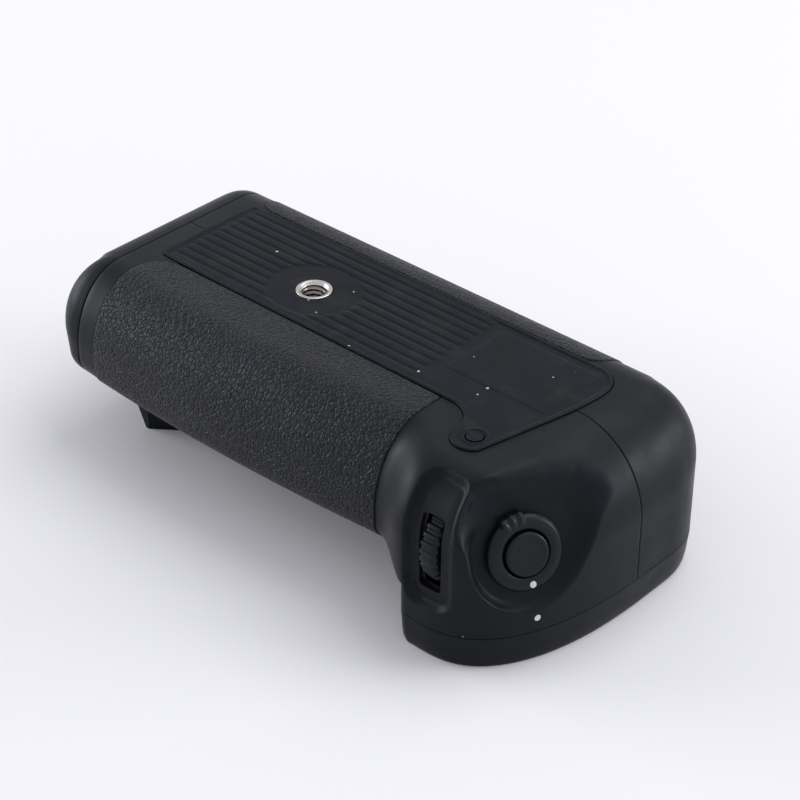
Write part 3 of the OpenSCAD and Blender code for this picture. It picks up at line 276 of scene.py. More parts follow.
def casing_rows():
    ring = outline()
    base = foot(ring)
    inner = core(ring)
    height = rise(ring)
    lean = END_LEAN * np.maximum(0, X_L + CORNER_R - ring[:, 0]) / CORNER_R
    inset = CORNER_INSET * smooth((DECK_X + 5 - base[:, 0]) / 5) * (ring[:, 1] > 30)
    rows = []

    def low(share, z):
        q = base + (ring - base) * share
        back = q[:, 1] - inset * (1 - share) * (z - DECK_H) / (UNDER_Z - DECK_H)
        rows.append(np.stack([q[:, 0] + lean * share, back, np.full(len(q), z)], 1))

    for z in np.linspace(DECK_H, UNDER_Z - FILLET, 12):
        low(0, z)
    for t in np.radians(np.linspace(15, 90, 6)):
        low(FILLET_PART * (1 - math.cos(t)), UNDER_Z - FILLET + FILLET * math.sin(t))
    for share in np.linspace(FILLET_PART, 1 - LOW_PART, 7)[1:-1]:
        low(share, UNDER_Z)
    for t in np.radians(np.linspace(0, 90, 11)):
        low(1 - LOW_PART * (1 - math.sin(t)), UNDER_Z + LOW_ROUND * (1 - math.cos(t)))
    z0 = UNDER_Z + LOW_ROUND
    for t in np.linspace(0, 1, 11)[1:-1]:
        z = z0 + (TOP_Z - height - z0) * t
        rows.append(np.stack([ring[:, 0] + lean * (1 - t), ring[:, 1], z], 1))
    for a in np.radians(np.linspace(0, 90, 45)):
        q = inner + (ring - inner) * math.cos(a)
        rows.append(np.stack([q[:, 0], q[:, 1], TOP_Z - height * (1 - math.sin(a))], 1))
    middle = np.stack([np.clip(inner[:, 0], PAD_X0 + 3, PAD_X1 - 3), np.full(len(ring), 7.0)], 1)
    for t in np.linspace(0, 1, 34)[1:]:
        q = inner + (middle - inner) * t
        rows.append(np.stack([q[:, 0], q[:, 1], np.full(len(q), TOP_Z)], 1))
    return np.array(rows)


def polygon_distance(all_x, all_y, poly, reach=8.0):
    """Signed distance to a closed polygon, negative inside it; beyond reach, the distance to its box."""
    poly = np.asarray(poly, float)
    low = poly.min(0)
    high = poly.max(0)
    gap_x = np.maximum(np.maximum(low[0] - all_x, all_x - high[0]), 0)
    gap_y = np.maximum(np.maximum(low[1] - all_y, all_y - high[1]), 0)
    result = np.hypot(gap_x, gap_y)
    near = result < reach
    px = all_x[near]
    py = all_y[near]
    best = np.full(len(px), 1e9)
    inside = np.zeros(len(px), bool)
    for (x0, y0), (x1, y1) in zip(poly, np.roll(poly, -1, 0)):
        dx = x1 - x0
        dy = y1 - y0
        t = np.clip(((px - x0) * dx + (py - y0) * dy) / max(dx * dx + dy * dy, 1e-12), 0, 1)
        best = np.minimum(best, np.hypot(px - x0 - t * dx, py - y0 - t * dy))
        if dy != 0:
            inside ^= ((y0 > py) != (y1 > py)) & (px < x0 + (py - y0) * dx / dy)
    result[near] = np.where(inside, -best, best)
    return result


def round_box(px, py, x0, y0, x1, y1, r):
    qx = np.abs(px - (x0 + x1) / 2) - (x1 - x0) / 2 + r
    qy = np.abs(py - (y0 + y1) / 2) - (y1 - y0) / 2 + r
    return np.hypot(np.maximum(qx, 0), np.maximum(qy, 0)) + np.minimum(np.maximum(qx, qy), 0) - r


def soften(p, rounds):
    """Rounds a closed outline by cutting its corners, a few times over."""
    for _ in range(rounds):
        q = np.roll(p, -1, 0)
        p = np.stack([0.75 * p + 0.25 * q, 0.25 * p + 0.75 * q], 1).reshape(-1, 2)
    return p


def dish_outline():
    p = np.concatenate([arc(0, 0, DISH_R, -92, 62, 40), DISH_R * np.array(DISH_SIDE)])
    return soften(p, 3)[::2]


def press_recess(v):
    """Sinks the channel of the front dial: its floor follows the front of the head up into the rounding."""
    x, y, z = v.T
    c = Y_F + ROUND_HEAD
    end_y = c - ROUND_HEAD * math.cos(RECESS_TURN)
    turn = np.arcsin(np.clip(1 - (TOP_Z - z) / RISE_HEAD, 0, 1))
    side = round_box(x, z, RECESS_X0, RECESS_Z0, RECESS_X1, BEYOND, RECESS_R)
    plan = round_box(x, y, RECESS_X0, -BEYOND, RECESS_X1, end_y, RECESS_R)
    d = smooth_max(side, plan, 1.0)
    bend = np.clip((x - HEAD_CX) / HEAD_A, 0, 1) ** CURVE_N
    back = HEAD_B * (1 - (1 - bend) ** (1 / CURVE_N))
    deep = np.maximum(RECESS_DEPTH - back, 0.7)
    wide = 1.6 + 0.6 * smooth((x - RECESS_X0 - 3) / 8)
    sunk = np.where((y < -SIDE_Y) & (z > DECK_H + 1), deep * smooth(-d / wide), 0)
    v[:, 1] += sunk * np.cos(turn)
    v[:, 2] -= sunk * np.sin(turn)


def press_dish(v):
    """Sinks the dish of the shutter release: sharp on its left, soft on its right, fading out on the top."""
    rel = v - SHUTTER_TOP
    a = rel @ AXIS_DOWN
    b = rel @ AXIS_SIDE
    depth = -(rel @ AXIS_OUT)
    near = (np.hypot(a, b) < 36) & (depth < 16) & (v[:, 0] > HEAD_X)
    d = np.full(len(v), FAR)
    d[near] = polygon_distance(a[near], b[near], dish_outline())
    side = smooth((b + 8) / 12)
    up = smooth((-a - 2) / 8)
    width = 2.6 + 2.2 * side + 3.5 * up
    floor = DISH_FLOOR - 3.2 * (np.maximum(0, d + width) / width) ** 2
    sunk = smooth_max(depth, floor, 0.7 + 0.9 * side + 6.0 * up)
    v -= np.where(near & (d < 6), sunk - depth, 0)[:, None] * AXIS_OUT


# Mesh helpers, in millimetres

def edges_of(t):
    """Directed edges of the triangles, and one number for each that is the same in both directions."""
    e = np.concatenate([t[:, [0, 1]], t[:, [1, 2]], t[:, [2, 0]]])
    return e, e.min(1) * (t.max() + 1) + e.max(1)


def weld(v, faces):
    """Merges points that coincide and returns triangles."""
    x, y, z = np.round(v * 2000).astype(np.int64).T + 2 ** 20
    _, first, back = np.unique((x << 42) + (y << 21) + z, return_index=True, return_inverse=True)
    faces = back[faces]
    tris = np.concatenate([faces[:, [0, 1, 2]], faces[:, [0, 2, 3]]])
    good = (tris[:, 0] != tris[:, 1]) & (tris[:, 1] != tris[:, 2]) & (tris[:, 2] != tris[:, 0])
    return v[first], tris[good]


def sheet(rows):
    """Rows of points that close around the part, as one sheet of triangles."""
    grid = np.arange(rows.shape[0] * rows.shape[1]).reshape(rows.shape[:2])
    ahead = np.roll(grid, -1, 1)
    quads = np.stack([grid[:-1], ahead[:-1], ahead[1:], grid[1:]], 2).reshape(-1, 4)
    return weld(rows.reshape(-1, 3), quads)


def refine(v, t, chosen):
    """Splits the chosen triangles into four, and their neighbours so that no gap opens."""
    e, number = edges_of(t)
    _, first, back = np.unique(number, return_index=True, return_inverse=True)
    pairs = np.sort(e[first], 1)
    back = back.reshape(3, -1)
    marked = np.zeros(len(pairs), bool)
    marked[back[:, chosen].ravel()] = True
    middle = np.full(len(pairs), -1)
    middle[marked] = len(v) + np.arange(marked.sum())
    v = np.concatenate([v, (v[pairs[marked, 0]] + v[pairs[marked, 1]]) / 2])
    m = middle[back].T
    count = (m >= 0).sum(1)
    tris = [t[count == 0]]
    a, b, c = t[count == 3].T
    p, q, r = m[count == 3].T
    for corners in ((a, p, r), (p, b, q), (r, q, c), (p, q, r)):
        tris.append(np.stack(corners, 1))
    for k in range(3):
        turned = np.roll(t, -k, 1)
        cut = np.roll(m, -k, 1)
        one = (count == 1) & (cut[:, 0] >= 0)
        a, b, c = turned[one].T
        p = cut[one, 0]
        tris += [np.stack([a, p, c], 1), np.stack([p, b, c], 1)]
        two = (count == 2) & (cut[:, 0] < 0)
        a, b, c = turned[two].T
        p, q = cut[two, 1:].T
        tris += [np.stack([p, c, q], 1), np.stack([a, b, p], 1), np.stack([a, p, q], 1)]
    return v, np.concatenate(tris)


def normals(v, t):
    n = np.zeros_like(v)
    f = np.cross(v[t[:, 1]] - v[t[:, 0]], v[t[:, 2]] - v[t[:, 0]])
    for k in range(3):
        np.add.at(n, t[:, k], f)
    return n / np.maximum(np.linalg.norm(n, axis=1), 1e-12)[:, None]


def compact(v, t):
    used, back = np.unique(t, return_inverse=True)
    return v[used], back.reshape(-1, 3)


def clip(v, t, inside, snap=0.3):
    """Keeps the part where inside(v) is negative; points close to the edge are drawn onto it."""
    f = inside(v)
    v = v.copy()
    e, number = edges_of(t)
    _, first = np.unique(number, return_index=True)
    e = np.sort(e[first], 1)
    e = e[f[e[:, 0]] * f[e[:, 1]] < 0]
    s = f[e[:, 0]] / (f[e[:, 0]] - f[e[:, 1]])
    at = v[e[:, 0]] + (v[e[:, 1]] - v[e[:, 0]]) * s[:, None]
    who = np.concatenate([e[s < snap, 0], e[s > 1 - snap, 1]])
    far = np.concatenate([s[s < snap], 1 - s[s > 1 - snap]])
    goal = np.concatenate([at[s < snap], at[s > 1 - snap]])
    order = np.argsort(-far)
    v[who[order]] = goal[order]
    f[who] = 0
    ft = f[t]
    keep = (ft <= 0).all(1) & (ft < 0).any(1)
    mixed = (ft < 0).any(1) & (ft > 0).any(1)
    points = list(v)
    made = {}

    def crossing(i, j):
        key = (min(i, j), max(i, j))
        if key not in made:
            made[key] = len(points)
            points.append(v[i] + (v[j] - v[i]) * (f[i] / (f[i] - f[j])))
        return made[key]

    extra = []
    for tri in t[mixed]:
        loop = []
        for k in range(3):
            i = tri[k]
            j = tri[(k + 1) % 3]
            if f[i] <= 0:
                loop.append(i)
            if f[i] * f[j] < 0:
                loop.append(crossing(i, j))
        for k in range(1, len(loop) - 1):
            extra.append((loop[0], loop[k], loop[k + 1]))
    t = np.concatenate([t[keep], np.array(extra, int).reshape(-1, 3)])
    return compact(np.array(points), t)


def boundary(t):
    """Directed edges that only one triangle uses."""
    e, number = edges_of(t)
    _, back, count = np.unique(number, return_inverse=True, return_counts=True)
    return e[count[back] == 1]


def shell(v, t, radius, depth, proud=0.0):
    """Closed piece under a sheet: a rounded lip of the given radius, a rim, and an inner face."""
    n = normals(v, t)
    v = v + n * proud
    edge = boundary(t)
    side = np.zeros_like(v)
    run = v[edge[:, 1]] - v[edge[:, 0]]
    run /= np.maximum(np.linalg.norm(run, axis=1), 1e-9)[:, None]
    for k in (0, 1):
        np.add.at(side, edge[:, k], np.cross(run, n[edge[:, k]]))
    rim = np.unique(edge)
    out = side[rim] - n[rim] * np.einsum("ij,ij->i", side[rim], n[rim])[:, None]
    out /= np.maximum(np.linalg.norm(out, axis=1), 1e-9)[:, None]
    number = np.zeros(len(v), int)
    number[rim] = np.arange(len(rim))
    i = number[edge[:, 0]]
    j = number[edge[:, 1]]
    points = [v]
    tris = [t]
    last_i = edge[:, 0]
    last_j = edge[:, 1]
    size = len(v)
    steps = [(radius * math.sin(a), radius * (1 - math.cos(a))) for a in np.radians([30, 60, 90])]
    for reach, drop in steps + [(radius, depth)]:
        points.append(v[rim] + out * reach - n[rim] * drop)
        tris.append(np.stack([last_j, last_i, size + i], 1))
        tris.append(np.stack([last_j, size + i, size + j], 1))
        last_i = size + i
        last_j = size + j
        size += len(rim)
    points.append(v - n * depth)
    tris.append(t[:, ::-1] + size)
    tris.append(np.stack([last_j, last_i, edge[:, 0] + size], 1))
    tris.append(np.stack([last_j, edge[:, 0] + size, edge[:, 1] + size], 1))
    return np.concatenate(points), np.concatenate(tris)


def to_object(name, v, faces, slot, body, node, angle=None, mat=None):
    """Makes an object of points in millimetres, rides it on a body and lets it stand for a CAD node."""
    mesh = bpy.data.meshes.new(name)
    mesh.from_pydata((np.asarray(v) * MM).tolist(), [], [list(map(int, f)) for f in faces])
    mesh.validate()
    dress(bpy.data.objects.new(name, mesh), slot, body, node, angle, mat)


def dress(ob, slot, body, node, angle=None, mat=None):
    """Links an object, with its slot's material unless another is given."""
    mesh = ob.data
    bpy.context.scene.collection.objects.link(ob)
    mesh.shade_smooth()
    if angle is not None:
        mesh.set_sharp_from_angle(angle=math.radians(angle))
    mesh.materials.clear()
    mesh.materials.append(mat or MATERIALS[slot])
    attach(ob, body)
    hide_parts(node)


def join(*parts):
    """Puts several (points, faces) together; faces may have any number of corners."""
    points = []
    faces = []
    size = 0
    for v, f in parts:
        points.append(np.asarray(v, float))
        faces += [[int(k) + size for k in face] for face in f]
        size += len(v)
    return np.concatenate(points), faces


def loop_faces(count, n, closed=False):
    """Quads between neighbouring loops of n points; a closed row of loops joins its last to its first."""
    faces = []
    for k in range(count if closed else count - 1):
        a = k * n
        b = (k + 1) % count * n
        for i in range(n):
            j = (i + 1) % n
            faces.append([a + i, a + j, b + j, b + i])
    return faces


def lathe(profile, n=96, shape=None):
    """Turns a closed or capped profile of (radius, height) about Z; shape(r, z, angle) may move points."""
    prof = np.array(profile, float)
    t = np.linspace(0, 2 * math.pi, n, endpoint=False)
    r = np.repeat(prof[:, 0][:, None], n, 1)
    z = np.repeat(prof[:, 1][:, None], n, 1)
    a = np.repeat(t[None, :], len(prof), 0)
    if shape is not None:
        r, z = shape(r, z, a)
    v = np.stack([r * np.cos(a), r * np.sin(a), z], 2).reshape(-1, 3)
    if np.allclose(prof[0], prof[-1]):
        return v[:-n], loop_faces(len(prof) - 1, n, True)
    faces = loop_faces(len(prof), n)
    for k, flip in ((0, True), (len(prof) - 1, False)):
        centre = v[k * n:(k + 1) * n].mean(0)
        c = len(v)
        v = np.concatenate([v, [centre]])
        for i in range(n):
            j = (i + 1) % n
            faces.append([c, k * n + j, k * n + i] if flip else [c, k * n + i, k * n + j])
    return v, faces


def rounded(points, r, steps=4):
    """Rounds the corners of an open profile by r."""
    p = [np.array(q, float) for q in points]
    out = [p[0]]
    for a, b, c in zip(p, p[1:], p[2:]):
        u = (a - b) / np.linalg.norm(a - b)
        w = (c - b) / np.linalg.norm(c - b)
        cut = min(r, 0.49 * np.linalg.norm(a - b), 0.49 * np.linalg.norm(c - b))
        for k in range(steps + 1):
            s = k / steps
            out.append(b + u * cut * (1 - s) ** 2 + w * cut * s ** 2)
    out.append(p[-1])
    return np.array(out)


def place(v, origin, ax, ay, az):
    """Points given along three axes from an origin."""
    return np.asarray(origin) + np.asarray(v, float) @ np.array([ax, ay, az], float)


def at_shutter(v):
    return place(v, SHUTTER_TOP, AXIS_DOWN, AXIS_SIDE, AXIS_OUT)


def along_x(v, origin):
    return place(v, origin, [0, 1, 0], [0, 0, 1], [1, 0, 0])


def along_y(v, origin):
    return place(v, origin, [0, 0, 1], [1, 0, 0], [0, 1, 0])


def along_z(v, origin):
    return place(v, origin, [1, 0, 0], [0, 1, 0], [0, 0, 1])


def moved(part, how, *where):
    """A part of (points, faces) with its points put in place."""
    return how(part[0], *where), part[1]


def thread(r, z0, z1, pitch, depth, n=48):
    """Loops of a round wall whose radius follows a thread."""
    rows = int((z1 - z0) / pitch * 12)
    zs = np.linspace(z0, z1, rows + 1)
    t = np.linspace(0, 2 * math.pi, n, endpoint=False)
    turn = (zs[:, None] / pitch - t[None, :] / (2 * math.pi)) % 1.0
    fade = smooth(np.minimum(zs - z0, z1 - zs) / pitch)[:, None]
    wave = np.abs(2 * turn - 1) * fade
    radius = r + depth * wave
    return np.stack([radius * np.cos(t), radius * np.sin(t), np.repeat(zs[:, None], n, 1)], 2)


BEVEL_ANGLE = math.radians(38)


def cad_copy(node, slot, body, width):
    """A softened copy of a CAD piece: edges bevelled, flat faces merged, curved faces shaded smooth."""
    mesh = NODES[node].data.copy()
    bm = bmesh.new()
    bm.from_mesh(mesh)
    bmesh.ops.remove_doubles(bm, verts=bm.verts, dist=2e-6)
    bmesh.ops.dissolve_limit(bm, angle_limit=math.radians(0.4), verts=bm.verts, edges=bm.edges)
    bm.to_mesh(mesh)
    bm.free()
    ob = bpy.data.objects.new(node + "_piece", mesh)
    dress(ob, slot, body, node)
    bevel = ob.modifiers.new("edges", "BEVEL")
    bevel.width = width * MM
    bevel.segments = 2
    bevel.limit_method = "ANGLE"
    bevel.angle_limit = BEVEL_ANGLE
    bevel.use_clamp_overlap = True
    bevel.harden_normals = True
    mesh.set_sharp_from_angle(angle=BEVEL_ANGLE)


# Materials

def new_material(name):
    mat = bpy.data.materials.new(name)
    mat.use_nodes = True
    tree = mat.node_tree
    return mat, tree, tree.nodes["Principled BSDF"]


def link(tree, a, b):
    tree.links.new(a, b)


def put(node, values):
    """Sets inputs of a node by their names."""
    for name, value in values.items():
        node.inputs[name].default_value = value


def coords(tree, scale=(1, 1, 1)):
    place_node = tree.nodes.new("ShaderNodeTexCoord")
    mapping = tree.nodes.new("ShaderNodeMapping")
    put(mapping, {"Scale": scale})
    link(tree, place_node.outputs["Object"], mapping.inputs["Vector"])
    return mapping.outputs["Vector"]


def noise(tree, vector, scale, detail=3.0, rough=0.55, output="Fac"):
    node = tree.nodes.new("ShaderNodeTexNoise")
    put(node, {"Scale": scale, "Detail": detail, "Roughness": rough})
    link(tree, vector, node.inputs["Vector"])
    return node.outputs[output]


def ramp(tree, value, low, high, out_low=0.0, out_high=1.0):
    node = tree.nodes.new("ShaderNodeMapRange")
    node.interpolation_type = "SMOOTHSTEP"
    put(node, {"From Min": low, "From Max": high, "To Min": out_low, "To Max": out_high})
    link(tree, value, node.inputs["Value"])
    return node.outputs["Result"]


def math_node(tree, kind, a, b):
    node = tree.nodes.new("ShaderNodeMath")
    node.operation = kind
    for k, value in enumerate((a, b)):
        if isinstance(value, (int, float)):
            node.inputs[k].default_value = value
        else:
            link(tree, value, node.inputs[k])
    return node.outputs["Value"]


def mix_colour(tree, fac, a, b):
    node = tree.nodes.new("ShaderNodeMix")
    node.data_type = "RGBA"
    node.clamp_factor = False
    link(tree, fac, node.inputs["Factor"])
    for key, value in ((6, a), (7, b)):
        if isinstance(value, (tuple, list)):
            node.inputs[key].default_value = (*value[:3], 1.0)
        else:
            link(tree, value, node.inputs[key])
    return node.outputs[2]


def specks(tree, vector, pitch, size, share):
    """Sparse round specks, pitch and size in millimetres."""
    node = tree.nodes.new("ShaderNodeTexVoronoi")
    put(node, {"Scale": 1000 / pitch})
    link(tree, vector, node.inputs["Vector"])
    split = tree.nodes.new("ShaderNodeSeparateColor")
    link(tree, node.outputs["Color"], split.inputs["Color"])
    chosen = math_node(tree, "GREATER_THAN", split.outputs["Red"], 1 - share)
    grown = math_node(tree, "MULTIPLY", split.outputs["Green"], size / pitch)
    dot = math_node(tree, "LESS_THAN", node.outputs["Distance"], grown)
    return math_node(tree, "MULTIPLY", chosen, dot)


def bump(tree, shader, height, distance):
    node = tree.nodes.new("ShaderNodeBump")
    put(node, {"Distance": distance * MM, "Strength": 1.0})
    link(tree, height, node.inputs["Height"])
    link(tree, node.outputs["Normal"], shader.inputs["Normal"])


def scaled(colour, k):
    return tuple(min(1.0, c * k) for c in colour)


COOL = (0.84, 0.92, 1.0, 1.0)
FILM = (0.017, 0.018, 0.021)
DUST = (0.42, 0.41, 0.39)
PALE_DUST = (0.45, 0.44, 0.42)


def plastic(name, colour, rough, spec, grain=0.25, depth=0.012, dust=0.012, wear=True, speck=0.36,
            sheen=0.0, smear=0.0):
    """Moulded plastic: fine spark-eroded grain, faint cloudiness, rubbed edges and a little dust."""
    mat, tree, shader = new_material(name)
    vector = coords(tree)
    cloud = noise(tree, vector, 60, 4)
    colour_now = mix_colour(tree, ramp(tree, cloud, 0.35, 0.7), scaled(colour, 0.86), scaled(colour, 1.16))
    if wear:
        edge = tree.nodes.new("ShaderNodeNewGeometry")
        rubbed = ramp(tree, edge.outputs["Pointiness"], 0.53, 0.62, 0.0, 0.35)
        colour_now = mix_colour(tree, rubbed, colour_now, scaled(colour, 2.6))
    if smear:
        film = ramp(tree, noise(tree, vector, 150, 6, 0.65), 0.5, 0.72, 0.0, smear)
        colour_now = mix_colour(tree, film, colour_now, FILM)
    dirt = specks(tree, vector, 2.6, speck, dust)
    colour_now = mix_colour(tree, dirt, colour_now, DUST)
    link(tree, colour_now, shader.inputs["Base Color"])
    uneven = ramp(tree, noise(tree, vector, 140, 5), 0.3, 0.75, rough - 0.05, rough + 0.06)
    link(tree, uneven, shader.inputs["Roughness"])
    put(shader, {"Specular IOR Level": spec, "Specular Tint": COOL})
    put(shader, {"Sheen Weight": sheen, "Sheen Roughness": 0.3})
    bump(tree, shader, noise(tree, vector, 1000 / grain, 2, 0.6), depth)
    return mat


def leather_rubber(name, colour):
    """Pebbled rubber: uneven cells with soft creases between them, the creases darkened with painted shade.
    """
    mat, tree, shader = new_material(name)
    vector = coords(tree)
    push = tree.nodes.new("ShaderNodeMix")
    push.data_type = "VECTOR"
    put(push, {"Factor": 0.0009})
    link(tree, vector, push.inputs[4])
    link(tree, noise(tree, vector, 700, 2, 0.5, "Color"), push.inputs[5])
    cells = tree.nodes.new("ShaderNodeTexVoronoi")
    cells.feature = "DISTANCE_TO_EDGE"
    put(cells, {"Scale": 820})
    link(tree, push.outputs[1], cells.inputs["Vector"])
    pebble = ramp(tree, cells.outputs["Distance"], 0.0, 0.2)
    fine = noise(tree, vector, 5200, 2)
    big = noise(tree, vector, 420, 3)
    height = math_node(tree, "ADD", pebble, math_node(tree, "MULTIPLY", fine, 0.06))
    height = math_node(tree, "ADD", height, math_node(tree, "MULTIPLY", big, 0.9))
    # Colour follows the pebble height: painted shade in the creases, a little painted light on the raised
    # cells
    tone = mix_colour(tree, pebble, scaled(colour, 0.55), scaled(colour, 1.12))
    worn = ramp(tree, noise(tree, vector, 45, 4), 0.45, 0.75, 0.0, 0.5)
    tone = mix_colour(tree, worn, tone, scaled(colour, 1.5))
    tone = mix_colour(tree, specks(tree, vector, 3.7, 0.34, 0.016), tone, PALE_DUST)
    link(tree, tone, shader.inputs["Base Color"])
    link(tree, ramp(tree, fine, 0.3, 0.7, 0.4, 0.54), shader.inputs["Roughness"])
    put(shader, {"Specular IOR Level": 0.19, "Specular Tint": COOL})
    put(shader, {"Sheen Weight": 0.05, "Sheen Roughness": 0.4})
    bump(tree, shader, height, 0.3)
    return mat


def metal(name, colour, rough, scale=(1, 1, 1)):
    """Plated or machined metal with fine streaks."""
    mat, tree, shader = new_material(name)
    vector = coords(tree, scale)
    lines = noise(tree, vector, 900, 3)
    cloud = ramp(tree, noise(tree, vector, 130, 4), 0.35, 0.7)
    link(tree, mix_colour(tree, cloud, scaled(colour, 0.82), colour), shader.inputs["Base Color"])
    put(shader, {"Metallic": 1.0})
    link(tree, ramp(tree, lines, 0.3, 0.7, rough - 0.06, rough + 0.1), shader.inputs["Roughness"])
    bump(tree, shader, lines, 0.006)
    return mat


def board(name, colour):
    """Circuit board: solder mask with faint copper runs under it."""
    mat, tree, shader = new_material(name)
    vector = coords(tree)
    node = tree.nodes.new("ShaderNodeTexBrick")
    put(node, {"Scale": 190, "Mortar Size": 0.03, "Color1": (*colour, 1),
               "Color2": (*scaled(colour, 0.8), 1), "Mortar": (*scaled(colour, 1.7), 1)})
    link(tree, vector, node.inputs["Vector"])
    link(tree, node.outputs["Color"], shader.inputs["Base Color"])
    link(tree, ramp(tree, noise(tree, vector, 300, 3), 0.3, 0.7, 0.28, 0.4), shader.inputs["Roughness"])
    bump(tree, shader, node.outputs["Fac"], 0.02)
    return mat


def paint(name, colour):
    """Filled paint dot, slightly uneven."""
    mat, tree, shader = new_material(name)
    vector = coords(tree)
    cloud = noise(tree, vector, 900, 3)
    tone = mix_colour(tree, ramp(tree, cloud, 0.35, 0.7), scaled(colour, 0.9), colour)
    link(tree, tone, shader.inputs["Base Color"])
    put(shader, {"Roughness": 0.45})
    bump(tree, shader, cloud, 0.01)
    return mat


# A darker copy of the bush's nickel for the thread: painted shade for the dark inside of the bore
SHADED_THREAD = metal("thread_nickel_painted_shade", (0.3, 0.28, 0.26), 0.34)
MATERIALS = {
    "casing_plastic": plastic("casing_plastic", (0.0036, 0.0043, 0.0062), 0.46, 0.16, sheen=0.12),
    "control_plastic": plastic("control_plastic", (0.0056, 0.0062, 0.0075), 0.36, 0.22, grain=0.2,
                               depth=0.008, dust=0.004),
    "inner_plastic": plastic("inner_plastic", (0.012, 0.012, 0.014), 0.5, 0.3, dust=0.0, wear=False),
    "pad_rubber": plastic("pad_rubber", (0.0042, 0.0052, 0.0082), 0.46, 0.12, grain=0.35, dust=0.09,
                          speck=0.4, smear=0.6),
    "grip_rubber": leather_rubber("grip_rubber", (0.0108, 0.0112, 0.015)),
    "bush_nickel": metal("bush_nickel", (0.56, 0.54, 0.51), 0.27),
    "plate_aluminium": metal("plate_aluminium", (0.62, 0.63, 0.64), 0.42, (1, 12, 12)),
    "steel": metal("steel", (0.56, 0.57, 0.58), 0.34),
    "brass": metal("brass", (0.66, 0.52, 0.25), 0.32),
    "contact_gold": metal("contact_gold", (0.78, 0.6, 0.26), 0.26),
    "board_green": board("board_green", (0.03, 0.13, 0.06)),
    "mark_white": paint("mark_white", (0.6, 0.61, 0.64))}

# Every CAD node that stays on show takes the material of its slot
for sub in frame["record"]["subparts"]:
    node_mesh = NODES[sub["node"]].data
    node_mesh.materials.clear()
    node_mesh.materials.append(MATERIALS[sub["material_slot"]])


# The casing's skin as one sheet, with the dish and the dial's channel sunk into it
SKIN_V, SKIN_T = sheet(casing_rows())
for near in (3.2, 1.2):
    centre = SKIN_V[SKIN_T].mean(1)
    rel = centre - SHUTTER_TOP
    on_head = (centre[:, 0] > HEAD_X - 2) & (centre[:, 1] < 2) & (centre[:, 2] > DECK_H + 1)
    dish = np.full(len(centre), FAR)
    dish[on_head] = polygon_distance(rel[on_head] @ AXIS_DOWN, rel[on_head] @ AXIS_SIDE, dish_outline())
    channel = round_box(centre[:, 0], centre[:, 2], RECESS_X0, RECESS_Z0, RECESS_X1, BEYOND, RECESS_R)
    channel = np.maximum(channel, centre[:, 1] + 22)
    edges = np.minimum(np.abs(dish), np.abs(channel)) < near
    SKIN_V, SKIN_T = refine(SKIN_V, SKIN_T, on_head & edges)
press_recess(SKIN_V)
press_dish(SKIN_V)


def pad_outline(gap):
    """Outline of the base pad: the tab leaves the front edge in a hollow curve."""
    x0 = PAD_X0 - gap
    x1 = PAD_X1 + gap
    y0 = PAD_Y0 - gap
    y1 = PAD_Y1 + gap
    p = np.concatenate([
        [[x0, y0 + 1.4], [x0 + 1.4, y0]],
        arc(TAB_X - TAB_R - HOLLOW_R, TAB_Y, HOLLOW_R - gap, 90, 0, 20),
        arc(TAB_X, TAB_Y, TAB_R + gap, 180, 318, 24),
        [[x1 - 3.2, y0 + 4], [x1 - 0.9, y0 + 14], [x1, y0 + 22]],
        arc(x1 - 7, y1 - 7, 7, 0, 90, 16),
        [[x0 + 1.4, y1], [x0, y1 - 1.4]]])
    return soften(p, 2)


def front_rubber_distance(v):
    x, y, z = v.T
    corner = round_box(x, y, RUBBER_X0, -BEYOND, BEYOND, PAD_Y0 - RUBBER_GAP, 8.0)
    under = np.maximum(RUBBER_X0 - x, y - NECK_Y + RUBBER_UNDER)
    d = np.where(z > 30, corner, under)
    return np.maximum(np.maximum(d, x - RUBBER_X1), UNDER_Z - 0.8 - z)


def rear_rubber_distance(v):
    x, y, z = v.T
    d = round_box(x, y, RUBBER_X0, PAD_Y1 + RUBBER_GAP, REAR_X1, BEYOND, 5.0)
    return np.maximum(d, REAR_Z - z)


def pad_distance(v):
    d = np.full(len(v), FAR)
    top = v[:, 2] > TOP_Z - 4
    d[top] = polygon_distance(v[top, 0], v[top, 1], pad_outline(0.1))
    return d


def window(side, x0, z0, x1, z1, r):
    """A rounded window in the front (side -1) or in the back (side 1)."""
    return lambda v: np.where(side * v[:, 1] > SIDE_Y, round_box(v[:, 0], v[:, 2], x0, z0, x1, z1, r), FAR)


def dial_window(side, at):
    return window(side, at[0] - WINDOW_HALF_X, at[2] - WINDOW_HALF_Z,
                  at[0] + WINDOW_HALF_X, at[2] + WINDOW_HALF_Z, WINDOW_R)


def round_hole(at, r):
    return lambda v: np.where(v[:, 1] > SIDE_Y, np.hypot(v[:, 0] - at[0], v[:, 2] - at[1]) - r, FAR)


def shutter_bore(v):
    rel = v - SHUTTER_TOP
    d = np.hypot(rel @ AXIS_DOWN, rel @ AXIS_SIDE) - SLEEVE_R - 0.1
    return np.where((rel @ AXIS_OUT > -8) & (v[:, 0] > HEAD_X), d, FAR)


def index_spot(v):
    rel = v - SHUTTER_TOP
    a = rel @ AXIS_DOWN - INDEX_R * math.cos(DOT_A)
    b = rel @ AXIS_SIDE - INDEX_R * math.sin(DOT_A)
    return np.where((rel @ AXIS_OUT > -10) & (v[:, 0] > HEAD_X), np.hypot(a, b) - DOT_R, FAR)


def knob_recess(v):
    d = np.hypot(v[:, 1] - CHAMBER_Y, v[:, 2] - LATCH_Z) - KNOB_R - 0.6
    return np.where(v[:, 0] < X_L + 6, d, FAR)


def cut_sheet(keep=(), lose=(), lip=LIP):
    """The part of the skin inside every keep and outside every lose, drawn back by the lip."""
    v, t = SKIN_V, SKIN_T
    for inside in keep:
        v, t = clip(v, t, lambda p, g=inside: g(p) + lip)
    for outside in lose:
        v, t = clip(v, t, lambda p, g=outside: lip - g(p))
    return v, t


def front_side(v):
    return v[:, 1] - SEAM_Y


